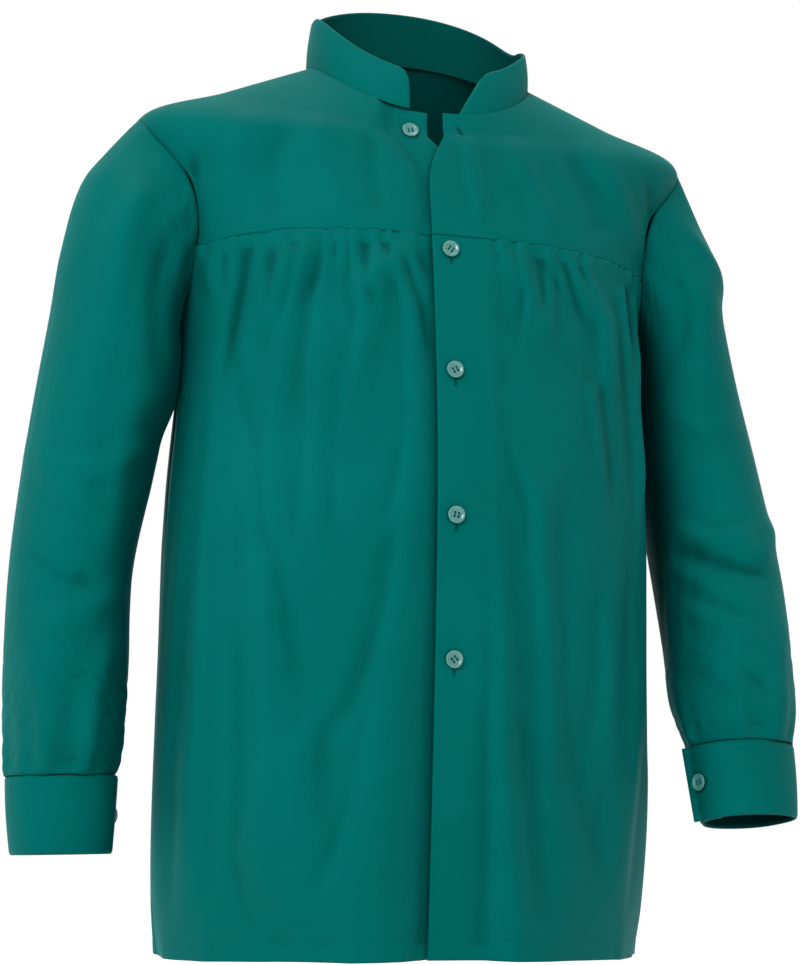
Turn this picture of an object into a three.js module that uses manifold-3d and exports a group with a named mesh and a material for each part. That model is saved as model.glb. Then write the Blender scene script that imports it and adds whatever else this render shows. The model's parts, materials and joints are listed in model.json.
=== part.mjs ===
// Long-sleeved smock with a stand collar, front yokes, a buttoned front and buttoned cuffs.
// Millimetres, +Z up, the front faces -Y and the wearer's left is +X.
// The origin is the middle of the neck opening, at the height where the shoulders meet the collar.
// Inside this file heights are measured from the hem, and the last lines lower everything so
// that the neck comes to the origin.
import * as THREE from 'three';
import { mergeVertices } from 'three/addons/utils/BufferGeometryUtils.js';
import Module from 'manifold-3d';

const wasm = await Module();
wasm.setup();

// ---- driving dimensions ----
const CLOTH = 1.2; // thickness of a panel of cloth with its turned seams
const SEAM_GAP = 0.5; // room between two panels that are sewn edge to edge
const LAYER_GAP = 0.4; // room between two layers that lie on each other
const NECK_HEIGHT = 753; // hem to the side of the neck
const SHOULDER_HEIGHT = 694; // hem to the shoulder tips
const UNDERARM_HEIGHT = 531; // hem to the bottom of the armholes
const CHEST_SEAM = 588; // hem to the seam under the front yokes, at the centre
const SHOULDER_HALF = 243; // centre to a shoulder tip
const NECK_HALF = 98; // centre to the side of the neck
const HIP_HALF = 209; // centre to the side seam at the hip
const OVERLAP = 15; // how far each front runs past the centre line
const OPEN_RIGHT = 27; // how far the right end of the open collar stands from the centre
const OPEN_LEFT = 16; // the same at the left end
const FACING = 40; // width of the turned-in front edges
const COLLAR_BACK = 50; // collar height at the centre back
const COLLAR_SIDE = 46; // collar height over the shoulders
const COLLAR_FRONT = 36; // collar height at its front ends
const COLLAR_LAYER = 0.9; // thickness of each collar or cuff layer
const COLLAR_LEAN = 14; // degrees that the collar's left end leans back at its top
const COLLAR_CORNER = 11; // radius of the collar's top front corners
const CUFF_HEIGHT = 62; // depth of the cuffs
const CUFF_OVERLAP = 36; // degrees that the cuff's end laps over its start
const SLIT_LENGTH = 85; // length of the sleeve opening above the cuff
const SLIT_WIDTH = 3; // width that the bound opening leaves
const BINDING_WIDTH = 16; // width of the binding behind the opening
const BINDING_ROOM = 1.6; // extra room between the sleeve and its binding
const BUTTON_RADIUS = 7;
const BUTTON_THICK = 2.4;
const BUTTON_LIFT = 0.9; // room between a button and the cloth below it
const BUTTON_HOLE_RADIUS = 0.95;
const BUTTON_HOLE_PITCH = 3.2; // distance between neighbouring holes
const THREAD_RADIUS = 0.5; // each thread leg
const SHANK_RADIUS = 1.1; // the wrapped thread between cloth and button
const SLOT_WIDTH = 3.4; // width of a buttonhole, opened by the shank
const SLOT_ABOVE = 3.5; // how far a buttonhole runs above its button's middle
const SLOT_BELOW = 12; // and below it
const BUTTON_HEIGHTS = [685, 577, 474, 356, 242]; // hem to each button, the top one first
const BUTTON_TURNS = [8, -35, 28, -12, 40]; // degrees that each button happens to be turned

const GREEN = 0x00706a;
const DEEP_GREEN = 0x005a52;
const BUTTON_GREEN = 0x7fb3ae;

// Room that the left front and its facing need over the right front.
const DIVE = 2 * (CLOTH + LAYER_GAP) + 0.5;
const DIVE_FULL = 2 * OVERLAP + 2; // distance from the right front's edge that lies fully under
const DIVE_NONE = DIVE_FULL + 16;

// ---- body surface ----
// Each ring is a closed line around the body. side, front and back give its half sizes and
// heights, and sideY is where its widest points lie.
const rings = [
  { half: 198, front: 149, back: 133, sideY: -8, z: [0, 10, 0] },
  { half: HIP_HALF, front: 151, back: 133, sideY: -8, z: [110, 110, 110] },
  { half: HIP_HALF, front: 151, back: 126, sideY: -8, z: [250, 250, 250] },
  { half: 209, front: 147, back: 123, sideY: -2, z: [380, 380, 380] },
  { half: 200, front: 135, back: 121, sideY: 4, z: [480, 480, 480] },
  { half: 208, front: 115, back: 122, sideY: 8, z: [580, 580, 580] },
  { half: 224, front: 101, back: 117, sideY: 8, z: [636, 636, 655] },
  { half: SHOULDER_HALF, front: 90, back: 100, sideY: 8, z: [SHOULDER_HEIGHT, 672, 722] },
  { half: 172, front: 83, back: 84, sideY: 6, z: [724, 687, 758] },
  { half: NECK_HALF, front: 80, back: 71, sideY: 2, z: [NECK_HEIGHT, 702, 787] },
];
const TIP_T = 7; // ring number at the shoulder tips
const NECK_T = 9; // ring number at the neckline
const UNDERARM_T = 4 + (UNDERARM_HEIGHT - 480) / 100;
const YOKE_T = 5 + (CHEST_SEAM - 580) / 56;
const BACK_YOKE_T = (UNDERARM_T + TIP_T) / 2; // seam level with the widest part of the armhole
const PART_FROM = 5.9; // ring number where the fronts start to part
const PART_TO = 7.6; // and where they are as far apart as the collar ends
const ROUNDNESS = 2.3; // exponent of the rings: 2 is an ellipse, more is squarer
const ARMHOLE_FRONT = 25; // degrees that the armhole reaches forward of the side
const ARMHOLE_BACK = 27; // and behind it

const deg = THREE.MathUtils.degToRad;
const smooth = (x) => THREE.MathUtils.smoothstep(x, 0, 1);
const mix = THREE.MathUtils.lerp;
const power = (x) => Math.sign(x) * Math.abs(x) ** (2 / ROUNDNESS);

// A point of one ring: angle 0 is the centre front, 90 the wearer's left, 180 the centre back.
function ringPoint(ring, angle) {
  const across = power(Math.sin(deg(angle)));
  const ahead = power(Math.cos(deg(angle)));
  const y = ahead > 0
    ? ring.sideY - (ring.front + ring.sideY) * ahead
    : ring.sideY - (ring.back - ring.sideY) * ahead;
  const bend = Math.abs(Math.cos(deg(angle))) ** 1.5;
  const z = mix(ring.z[0], ahead > 0 ? ring.z[1] : ring.z[2], bend);
  return new THREE.Vector3(ring.half * across, y, z);
}

// Smooth curve through four values.
function through(a, b, c, d, f) {
  const linear = b.clone().lerp(c, f);
  const bulge = b.clone().multiplyScalar(2).sub(a).sub(c).multiplyScalar((1 - f) / 2)
    .add(c.clone().multiplyScalar(2).sub(b).sub(d).multiplyScalar(f / 2));
  return linear.addScaledVector(bulge, f * (1 - f));
}

// A point of the body surface: t counts rings from the hem up.
function bodyPoint(angle, t) {
  const low = Math.min(Math.floor(t), rings.length - 2);
  const pick = (i) => ringPoint(rings[THREE.MathUtils.clamp(i, 0, rings.length - 1)], angle);
  return through(pick(low - 1), pick(low), pick(low + 1), pick(low + 2), t - low);
}

function bodyNormal(angle, t) {
  const step = 0.01;
  const top = Math.min(t + step, NECK_T);
  const along = bodyPoint(angle + 0.5, t).sub(bodyPoint(angle - 0.5, t));
  const up = bodyPoint(angle, top).sub(bodyPoint(angle, Math.max(top - 2 * step, 0)));
  return along.cross(up).normalize();
}

// A point that lies depth inside the body surface. At the hem it stays level with the hem.
function under(angle, t, depth) {
  const normal = bodyNormal(angle, t);
  if (t === 0) normal.setZ(0).normalize();
  return bodyPoint(angle, t).addScaledVector(normal, -depth);
}

// The ring angle at which the front of the body has a given distance from the centre line.
function angleAt(x, t) {
  const low = Math.min(Math.floor(t), rings.length - 2);
  const half = mix(rings[low].half, rings[low + 1].half, t - low);
  const share = Math.min(Math.abs(x) / half, 1) ** (ROUNDNESS / 2);
  return Math.sign(x) * THREE.MathUtils.radToDeg(Math.asin(share));
}

// How far the armhole cuts in from the side, in degrees, at ring number t.
function armholeCut(t, reach) {
  const middle = (UNDERARM_T + TIP_T) / 2;
  const share = (t - middle) / (TIP_T - middle);
  return Math.abs(share) < 1 ? reach * Math.sqrt(1 - share * share) : 0;
}

// A point of the armhole edge of one side: turn 0 is the shoulder tip, 90 the front.
function armholePoint(side, turn) {
  const middle = (UNDERARM_T + TIP_T) / 2;
  const t = middle + (TIP_T - middle) * Math.cos(deg(turn));
  const reach = Math.sin(deg(turn)) > 0 ? ARMHOLE_FRONT : ARMHOLE_BACK;
  const angle = 90 - reach * Math.sin(deg(turn));
  const point = bodyPoint(angle, t);
  point.x *= side;
  return point;
}

// ---- closed solids from grids ----
// rows is a list of rows of { out, in } point pairs. Every row has the same length.
function shell(rows, closed = false) {
  const tall = rows.length;
  const wide = rows[0].length;
  const flat = [];
  for (const row of rows) for (const pair of row) flat.push(...pair.out.toArray());
  for (const row of rows) for (const pair of row) flat.push(...pair.in.toArray());
  const inside = tall * wide;
  const index = [];
  const quad = (a, b, c, d) => index.push(a, b, c, a, c, d);
  const spans = closed ? wide : wide - 1;
  for (let i = 0; i < tall - 1; i += 1) {
    for (let j = 0; j < spans; j += 1) {
      const a = i * wide + j;
      const b = i * wide + ((j + 1) % wide);
      const c = b + wide;
      const d = a + wide;
      quad(a, b, c, d);
      quad(inside + a, inside + d, inside + c, inside + b);
    }
  }
  for (let j = 0; j < spans; j += 1) {
    const k = (j + 1) % wide;
    const top = (tall - 1) * wide;
    quad(j, inside + j, inside + k, k);
    quad(top + j, top + k, inside + top + k, inside + top + j);
  }
  for (let i = 0; i < tall - 1 && !closed; i += 1) {
    const a = i * wide;
    const b = a + wide;
    const end = wide - 1;
    quad(a, b, inside + b, inside + a);
    quad(a + end, inside + a + end, inside + b + end, b + end);
  }
  const geometry = new THREE.BufferGeometry();
  geometry.setAttribute('position', new THREE.Float32BufferAttribute(flat, 3));
  geometry.setIndex(volume(flat, index) < 0 ? index.toReversed() : index);
  return geometry;
}

function volume(flat, index) {
  const corner = (i) => new THREE.Vector3().fromArray(flat, 3 * index[i]);
  let sum = 0;
  for (let i = 0; i < index.length; i += 3) {
    sum += corner(i).dot(corner(i + 1).cross(corner(i + 2)));
  }
  return sum;
}

function toSolid(geometry) {
  const bare = geometry.clone();
  bare.deleteAttribute('normal');
  bare.deleteAttribute('uv');
  const merged = mergeVertices(bare, 1e-4);
  return new wasm.Manifold(new wasm.Mesh({
    numProp: 3,
    vertProperties: new Float32Array(merged.attributes.position.array),
    triVerts: new Uint32Array(merged.index.array),
  }));
}

function toGeometry(solid) {
  const mesh = solid.getMesh();
  const geometry = new THREE.BufferGeometry();
  geometry.setAttribute('position', new THREE.BufferAttribute(mesh.vertProperties, 3));
  geometry.setIndex(new THREE.BufferAttribute(mesh.triVerts, 1));
  return geometry;
}

function cut(geometry, tools) {
  const cutter = (solid, tool) => solid.subtract(toSolid(tool));
  return toGeometry(tools.reduce(cutter, toSolid(geometry)));
}

const smock = new THREE.Group();

function addPiece(name, geometry, colour, roughness, parent = smock) {
  const material = new THREE.MeshStandardMaterial({ color: colour, roughness, metalness: 0 });
  const mesh = new THREE.Mesh(geometry, material);
  mesh.name = name;
  parent.add(mesh);
}

// ---- fronts ----
const steps = (from, to, count) =>
  Array.from({ length: count + 1 }, (_, i) => mix(from, to, i / count));

// Height of the chest seam, which drops a little towards the armholes.
const chestSeam = (angle) => YOKE_T - 0.14 * (angle / 65) ** 2;

// Distance from the centre line to a front's edge, positive past the centre.
// Above the second button the fronts part towards the open collar ends.
function frontEdge(side, t) {
  const parted = side > 0 ? OPEN_LEFT - OVERLAP : OPEN_RIGHT - OVERLAP;
  return mix(OVERLAP, -parted, smooth((t - PART_FROM) / (PART_TO - PART_FROM)));
}

// How deep a front lies under the nominal surface, by the distance from its own edge.
function frontDepth(side, fromEdge) {
  return side > 0 ? 0 : DIVE * (1 - smooth((fromEdge - DIVE_FULL) / (DIVE_NONE - DIVE_FULL)));
}

// One point pair of a front. Columns near the edge keep a fixed distance from it.
const EDGE_COLUMNS = [0, OVERLAP, 2 * OVERLAP, FACING, DIVE_NONE];
const WIDE_COLUMNS = 6;

function frontPair(side, column, t, layer, sideAngle) {
  const edge = -frontEdge(side, t);
  const lastFixed = edge + DIVE_NONE;
  let angle = angleAt(edge + Math.min(column, DIVE_NONE), t);
  if (column > DIVE_NONE) {
    angle = mix(angleAt(lastFixed, t), sideAngle(t), column - DIVE_NONE);
  }
  const depth = frontDepth(side, Math.min(column, DIVE_NONE)) + layer * (CLOTH + LAYER_GAP);
  const pair = { out: under(angle, t, depth), in: under(angle, t, depth + CLOTH) };
  pair.out.x *= side;
  pair.in.x *= side;
  return pair;
}

const seamAngle = 0.15; // degrees of ring angle that make half a seam gap
const seamStep = 0.005; // ring numbers that make half a seam gap

function frontSide(t) {
  return 90 - armholeCut(t, ARMHOLE_FRONT) - seamAngle;
}

const wideColumns = steps(0, 1, WIDE_COLUMNS).slice(1).map((f) => DIVE_NONE + f);
const frontColumns = [...EDGE_COLUMNS, ...wideColumns];
const panelRows = [0, 0.5, 1, 1.5, 2, 2.5, 3, 3.5, 4, 4.25, UNDERARM_T, 4.75, YOKE_T];
const yokeRows = [YOKE_T, 5.6, 6.1, 6.55, 6.85, TIP_T, 7.4, 7.8, 8.2, 8.6, NECK_T];

// The panel's rows crowd together under the drooping chest seam.
function panelT(t, angle) {
  return t * (chestSeam(angle) - seamStep) / YOKE_T;
}

function yokeT(t, angle) {
  const low = chestSeam(angle) + seamStep;
  const high = NECK_T - seamStep;
  return mix(low, high, (t - YOKE_T) / (NECK_T - YOKE_T));
}

function frontRows(side, rows, lift, layer, columns) {
  const share = (column) => Math.max(0, column - DIVE_NONE);
  return rows.map((t) => columns.map((column) => {
    const angle = 65 * share(column);
    return frontPair(side, column, lift(t, angle), layer, frontSide);
  }));
}

function buttonAngle(height, side) {
  let t = 0;
  const x = () => (side > 0 ? 0 : -(OVERLAP - frontEdge(-1, t)));
  for (let i = 0; i < 40; i += 1) {
    const angle = angleAt(Math.abs(x()), t);
    const here = bodyPoint(angle, t).z;
    t = THREE.MathUtils.clamp(t + (height - here) / 110, 0, NECK_T);
  }
  return { angle: angleAt(x(), t), t };
}

// Buttonholes are slots through the left front and its facing.
function buttonSlot(height) {
  const { t } = buttonAngle(height, 1);
  const x = OVERLAP - frontEdge(1, t);
  const tall = SLOT_ABOVE + SLOT_BELOW;
  const slot = new THREE.BoxGeometry(SLOT_WIDTH, 30, tall);
  slot.translate(x, bodyPoint(0, t).y, height + SLOT_ABOVE - tall / 2);
  return slot;
}

const slots = BUTTON_HEIGHTS.map(buttonSlot);
for (const [side, name] of [[1, 'left'], [-1, 'right']]) {
  const tools = side > 0 ? slots : [];
  const facingColumns = [SEAM_GAP, OVERLAP, 2 * OVERLAP, FACING];
  const panel = shell(frontRows(side, panelRows, panelT, 0, frontColumns));
  const yoke = shell(frontRows(side, yokeRows, yokeT, 0, frontColumns));
  const facing = shell([
    ...frontRows(side, panelRows, panelT, 1, facingColumns),
    ...frontRows(side, yokeRows.slice(1), yokeT, 1, facingColumns),
  ]);
  addPiece(`front_panel_${name}`, cut(panel, tools), GREEN, 0.55);
  addPiece(`front_yoke_${name}`, cut(yoke, tools), GREEN, 0.55);
  addPiece(`front_facing_${name}`, cut(facing, tools), DEEP_GREEN, 0.6);
}

// ---- back ----
function backPair(f, t) {
  const reach = armholeCut(t, ARMHOLE_BACK) + seamAngle;
  const angle = mix(90 + reach, 270 - reach, f);
  return { out: under(angle, t, 0), in: under(angle, t, CLOTH) };
}

const backColumns = steps(0, 1, 18);
const backRows = [...panelRows.slice(0, -1), 5.1, 5.6, BACK_YOKE_T - seamStep];
const backYokeRows = [BACK_YOKE_T + seamStep, 6.1, 6.55, 6.85, TIP_T, 7.4, 7.8, 8.2, 8.6,
  NECK_T - seamStep];
for (const [name, rows] of [['back_panel', backRows], ['back_yoke', backYokeRows]]) {
  const grid = rows.map((t) => backColumns.map((f) => backPair(f, t)));
  addPiece(name, shell(grid), GREEN, 0.55);
}

// ---- collar ----
const neckRing = rings[NECK_T];
const collarTop = {
  half: NECK_HALF - 3,
  front: neckRing.front - 9,
  back: neckRing.back,
  sideY: neckRing.sideY,
  z: [
    neckRing.z[0] + COLLAR_SIDE,
    neckRing.z[1] + COLLAR_FRONT,
    neckRing.z[2] + COLLAR_BACK,
  ],
};
const collarStart = angleAt(OPEN_LEFT, NECK_T);
const collarEnd = 360 - angleAt(OPEN_RIGHT, NECK_T);
const COLLAR_COLUMNS = 30;

// Top edge near an end drops in a quarter circle.
function cornerDrop(fromEnd) {
  const x = Math.max(0, COLLAR_CORNER - fromEnd);
  return COLLAR_CORNER - Math.sqrt(COLLAR_CORNER ** 2 - x * x);
}

function collarPair(angle, f, layer) {
  const low = ringPoint(neckRing, angle);
  const lean = COLLAR_LEAN * (1 - smooth((angle - collarStart) / 30));
  const high = ringPoint(collarTop, angle + lean);
  const mean = (NECK_HALF + neckRing.front) / 2;
  const fromEnd = deg(Math.min(angle - collarStart, collarEnd - angle)) * mean;
  low.z += SEAM_GAP;
  high.z -= cornerDrop(Math.min(fromEnd, COLLAR_CORNER)) * 0.9;
  const next = ringPoint(neckRing, angle + 1).sub(ringPoint(neckRing, angle - 1));
  const normal = next.cross(high.clone().sub(low)).normalize();
  const depth = layer * (COLLAR_LAYER + LAYER_GAP);
  const out = low.lerp(high, f).addScaledVector(normal, -depth);
  return { out, in: out.clone().addScaledVector(normal, -COLLAR_LAYER) };
}

const collarLayers = ['collar_outer', 'collar_interlining', 'collar_inner'];
collarLayers.forEach((name, layer) => {
  const middle = steps(collarStart + 10, collarEnd - 10, COLLAR_COLUMNS);
  const angles = [collarStart, collarStart + 2, collarStart + 5, ...middle,
    collarEnd - 5, collarEnd - 2, collarEnd];
  const grid = [0, 0.5, 1].map((f) => angles.map((angle) => collarPair(angle, f, layer)));
  addPiece(name, shell(grid), layer === 1 ? DEEP_GREEN : GREEN, 0.6);
});

// ---- sleeves ----
// Each section of a sleeve: its outermost and innermost points seen from the front, as
// [distance from the centre, height], then where it lies front to back and its half depth.
const sleeveSections = {
  right: [
    { outer: [284, 640], inner: [208, 512], y: 8, depth: 72 },
    { outer: [303, 565], inner: [209, 468], y: 8, depth: 71 },
    { outer: [313, 500], inner: [215, 425], y: 6, depth: 67 },
    { outer: [324, 420], inner: [222, 385], y: 4, depth: 62 },
    { outer: [334, 320], inner: [236, 310], y: 0, depth: 58 },
    { outer: [336, 230], inner: [237, 230], y: -8, depth: 57 },
    { outer: [334, 175], inner: [240, 175], y: -15, depth: 53 },
  ],
  left: [
    { outer: [275, 615], inner: [208, 512], y: 8, depth: 72 },
    { outer: [287, 555], inner: [209, 465], y: 7, depth: 71 },
    { outer: [301, 495], inner: [215, 425], y: 4, depth: 68 },
    { outer: [320, 420], inner: [220, 385], y: -2, depth: 64 },
    { outer: [334, 325], inner: [224, 318], y: -24, depth: 62 },
    { outer: [334, 250], inner: [225, 260], y: -47, depth: 60 },
    { outer: [332, 208], inner: [224, 212], y: -62, depth: 54 },
  ],
};
// Each cuff: the middle of its top edge, the direction down it, and its half sizes there.
const cuffPlaces = {
  right: { middle: [289, -21, 142], down: [-0.02, -0.08, -1], half: 43, depth: 37, open: 198 },
  left: { middle: [279, -75, 176], down: [0.02, -0.24, -1], half: 46, depth: 39, open: 162 },
};
const CUFF_TAPER = 0.9;
const SLEEVE_COLUMNS = 20;

// A frame at a cuff's top: across points away from the body, ahead to the front.
function cuffFrame(place, side) {
  const middle = new THREE.Vector3(side * place.middle[0], place.middle[1], place.middle[2]);
  const down = new THREE.Vector3(side * place.down[0], place.down[1], place.down[2]).normalize();
  const across = new THREE.Vector3(side, 0, 0).addScaledVector(down, -side * down.x).normalize();
  const ahead = down.clone().cross(across).multiplyScalar(side);
  return { middle, down, across, ahead };
}

// turn 0 is the outer side, 90 the front.
function cuffPoint(place, side, turn, along, depth) {
  const frame = cuffFrame(place, side);
  const taper = mix(1, CUFF_TAPER, along / CUFF_HEIGHT);
  const a = place.half * taper;
  const b = place.depth * taper;
  const c = Math.cos(deg(turn));
  const s = Math.sin(deg(turn));
  const normal = new THREE.Vector2(c / a, s / b).normalize();
  return frame.middle.clone()
    .addScaledVector(frame.down, along)
    .addScaledVector(frame.across, a * c - depth * normal.x)
    .addScaledVector(frame.ahead, b * s - depth * normal.y);
}

function sectionPoint(section, side, turn) {
  const outer = new THREE.Vector3(side * section.outer[0], section.y, section.outer[1]);
  const inner = new THREE.Vector3(side * section.inner[0], section.y, section.inner[1]);
  const middle = outer.clone().lerp(inner, 0.5);
  const reach = outer.sub(middle);
  return middle.addScaledVector(reach, Math.cos(deg(turn)))
    .add(new THREE.Vector3(0, -section.depth * Math.sin(deg(turn)), 0));
}

// The armhole plane faces outward, so the sleeve starts one seam gap along that direction.
function armholeOut(side) {
  const tip = armholePoint(side, 0);
  const low = armholePoint(side, 180);
  const rise = tip.clone().sub(low).normalize();
  return new THREE.Vector3(side * Math.abs(rise.z), 0, -Math.abs(rise.x)).normalize();
}

function sleevePoint(side, name, turn, s) {
  const place = cuffPlaces[name];
  const sections = sleeveSections[name];
  const last = sections.length + 1;
  const pick = (i) => {
    if (i <= 0) return armholePoint(side, turn).addScaledVector(armholeOut(side), 2 * SEAM_GAP);
    if (i >= last) return cuffPoint(place, side, turn, -SEAM_GAP, 0);
    return sectionPoint(sections[i - 1], side, turn);
  };
  const low = Math.min(Math.floor(s), last - 1);
  return through(pick(low - 1), pick(low), pick(low + 1), pick(low + 2), s - low);
}

function sleevePair(side, name, turn, s, depth, thick = CLOTH) {
  const last = sleeveSections[name].length + 1;
  const low = Math.max(0, s - 0.05);
  const high = Math.min(last, s + 0.05);
  const down = sleevePoint(side, name, turn, high).sub(sleevePoint(side, name, turn, low));
  const around = sleevePoint(side, name, turn + 2, s).sub(sleevePoint(side, name, turn - 2, s));
  const normal = around.cross(down).normalize().multiplyScalar(-side);
  if (s <= 0) {
    const face = armholeOut(side);
    normal.addScaledVector(face, -normal.dot(face)).normalize();
  }
  if (s >= last) {
    const face = cuffFrame(cuffPlaces[name], side).down;
    normal.addScaledVector(face, -normal.dot(face)).normalize();
  }
  const point = sleevePoint(side, name, turn, s);
  return {
    out: point.clone().addScaledVector(normal, -depth),
    in: point.clone().addScaledVector(normal, -depth - thick),
  };
}

// Ring numbers near the cuff that a length along the opening covers.
function slitRange(side, name, turn, length) {
  const last = sleeveSections[name].length + 1;
  const end = sleevePoint(side, name, turn, last);
  let s = last;
  while (s > 0 && sleevePoint(side, name, turn, s).distanceTo(end) < length) s -= 0.02;
  return [s, last];
}

function slitTool(side, name) {
  const turn = cuffPlaces[name].open;
  const [from, to] = slitRange(side, name, turn, SLIT_LENGTH);
  const low = sleevePoint(side, name, turn, from);
  const high = sleevePoint(side, name, turn, to);
  const along = high.clone().sub(low);
  const around = sleevePoint(side, name, turn + 2, from).sub(sleevePoint(side, name, turn - 2, from));
  const length = along.length();
  along.normalize();
  around.addScaledVector(along, -around.dot(along)).normalize();
  const out = along.clone().cross(around);
  const box = new THREE.BoxGeometry(SLIT_WIDTH, 24, length + 6);
  box.applyMatrix4(new THREE.Matrix4().makeBasis(around, out, along));
  const middle = low.lerp(high, 0.5).addScaledVector(along, 3);
  box.translate(middle.x, middle.y, middle.z);
  if (new THREE.Matrix4().makeBasis(around, out, along).determinant() < 0) {
    box.setIndex(Array.from(box.index.array).toReversed());
  }
  return box;
}

const sleeveStops = [0, 0.35, 0.7, 1, 1.5, 2, 2.5, 3, 3.5, 4, 4.5, 5, 5.5, 6, 6.5, 7, 7.5, 8];

// A strip behind the opening, with the opening's own slot in it.
function bindingRows(side, name) {
  const turn = cuffPlaces[name].open;
  const [from, to] = slitRange(side, name, turn, SLIT_LENGTH + 10);
  const rows = [from, ...sleeveStops.filter((s) => s > from && s <= to)];
  return rows.map((s) => {
    const depth = CLOTH + LAYER_GAP + BINDING_ROOM;
    const size = sleevePoint(side, name, turn + 5, s).distanceTo(sleevePoint(side, name, turn - 5, s));
    const spread = (BINDING_WIDTH / 2) * (10 / size);
    return steps(turn - spread, turn + spread, 4)
      .map((at) => sleevePair(side, name, at, s, depth, COLLAR_LAYER));
  });
}

for (const [side, name] of [[1, 'left'], [-1, 'right']]) {
  const turns = steps(0, 360, SLEEVE_COLUMNS).slice(0, -1);
  const grid = sleeveStops.map((s) => turns.map((turn) => sleevePair(side, name, turn, s, 0)));
  const tool = slitTool(side, name);
  addPiece(`sleeve_${name}`, cut(shell(grid, true), [tool]), GREEN, 0.55);
  const binding = cut(shell(bindingRows(side, name)), [tool]);
  addPiece(`sleeve_placket_${name}`, binding, DEEP_GREEN, 0.6);
}

// ---- cuffs ----
const cuffStack = 3 * COLLAR_LAYER + 2 * LAYER_GAP;
const cuffStep = cuffStack + LAYER_GAP + 0.2; // how far the end stands out over the start
const CUFF_COLUMNS = 26;

// The end of the cuff rises over its start in the last stretch before they meet.
const RISE_FROM = 290; // degrees around the cuff where the rise starts
const RISE_TO = 350;
function cuffRise(passed) {
  return cuffStep * smooth((passed - RISE_FROM) / (RISE_TO - RISE_FROM));
}

function cuffPair(name, side, passed, along, layer) {
  const place = cuffPlaces[name];
  const turn = place.open - CUFF_OVERLAP / 2 + passed;
  const depth = layer * (COLLAR_LAYER + LAYER_GAP) - cuffRise(passed);
  return {
    out: cuffPoint(place, side, turn, along, depth),
    in: cuffPoint(place, side, turn, along, depth + COLLAR_LAYER),
  };
}

// The button sits in the middle of the lapped stretch.
function cuffButtonSpot(name, side) {
  const place = cuffPlaces[name];
  const turn = place.open;
  const along = CUFF_HEIGHT / 2;
  const surface = cuffPoint(place, side, turn, along, -cuffStep);
  const normal = surface.clone().sub(cuffPoint(place, side, turn, along, 0)).normalize();
  return { surface, normal, up: cuffFrame(place, side).down.clone().negate() };
}

function cuffSlot(name, side) {
  const { surface, normal, up } = cuffButtonSpot(name, side);
  const around = up.clone().cross(normal).normalize();
  const deep = cuffStack + LAYER_GAP;
  const slot = new THREE.BoxGeometry(2 * BUTTON_RADIUS - 2, SLOT_WIDTH, deep + 1);
  slot.applyMatrix4(new THREE.Matrix4().makeBasis(around, normal.clone().cross(around), normal));
  const middle = surface.clone().addScaledVector(normal, (1 - deep) / 2);
  slot.translate(middle.x, middle.y, middle.z);
  return slot;
}

for (const [side, name] of [[1, 'left'], [-1, 'right']]) {
  const passes = steps(0, 360 + CUFF_OVERLAP, CUFF_COLUMNS);
  const layers = [`cuff_${name}`, `cuff_interlining_${name}`, `cuff_lining_${name}`];
  layers.forEach((piece, layer) => {
    const grid = steps(0, CUFF_HEIGHT, 2)
      .map((along) => passes.map((passed) => cuffPair(name, side, passed, along, layer)));
    const band = cut(shell(grid), [cuffSlot(name, side)]);
    addPiece(piece, band, layer === 1 ? DEEP_GREEN : GREEN, 0.6);
  });
}

// ---- buttons ----
const holePlaces = [[1, 1], [-1, 1], [-1, -1], [1, -1]]
  .map(([x, y]) => [x * BUTTON_HOLE_PITCH / 2, y * BUTTON_HOLE_PITCH / 2]);

function rod(radius, from, to, x, y, sides) {
  const geometry = new THREE.CylinderGeometry(radius, radius, to - from, sides);
  geometry.rotateX(Math.PI / 2);
  geometry.translate(x, y, (from + to) / 2);
  return geometry;
}

// A dished disc with a raised rim, its back at z = 0.
function buttonGeometry() {
  const rim = BUTTON_RADIUS;
  const profile = [[0, 0], [rim - 1, 0], [rim, 0.8], [rim, BUTTON_THICK - 0.5],
    [rim - 0.8, BUTTON_THICK], [rim - 2, BUTTON_THICK - 0.3], [rim - 2.6, BUTTON_THICK - 0.9],
    [0, BUTTON_THICK - 0.9]];
  const lathe = new THREE.LatheGeometry(profile.map(([x, y]) => new THREE.Vector2(x, y)), 16);
  lathe.rotateX(Math.PI / 2);
  const holes = holePlaces.map(([x, y]) => rod(BUTTON_HOLE_RADIUS, -1, BUTTON_THICK + 1, x, y, 6));
  return cut(lathe, holes);
}

// Two stitches over the face, their legs through the holes, and the wrapped shank below.
function threadGeometry(shank) {
  const face = BUTTON_THICK - 0.9 + 0.25;
  const legs = holePlaces.map(([x, y]) => rod(THREAD_RADIUS, -0.45, face + 0.5, x, y, 6));
  const reach = BUTTON_HOLE_PITCH / 2;
  const knot = rod(reach * Math.SQRT2 + THREAD_RADIUS, -0.6, -0.3, 0, 0, 8);
  const bars = [-reach, reach].map((x) => {
    const bar = new THREE.BoxGeometry(2 * THREAD_RADIUS, 2 * reach, 2 * THREAD_RADIUS);
    bar.translate(x, 0, face + THREAD_RADIUS);
    return bar;
  });
  const pieces = [...legs, knot, ...bars, rod(SHANK_RADIUS, -shank, -0.4, 0, 0, 8)];
  return toGeometry(pieces.map(toSolid).reduce((all, piece) => all.add(piece)));
}

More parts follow.
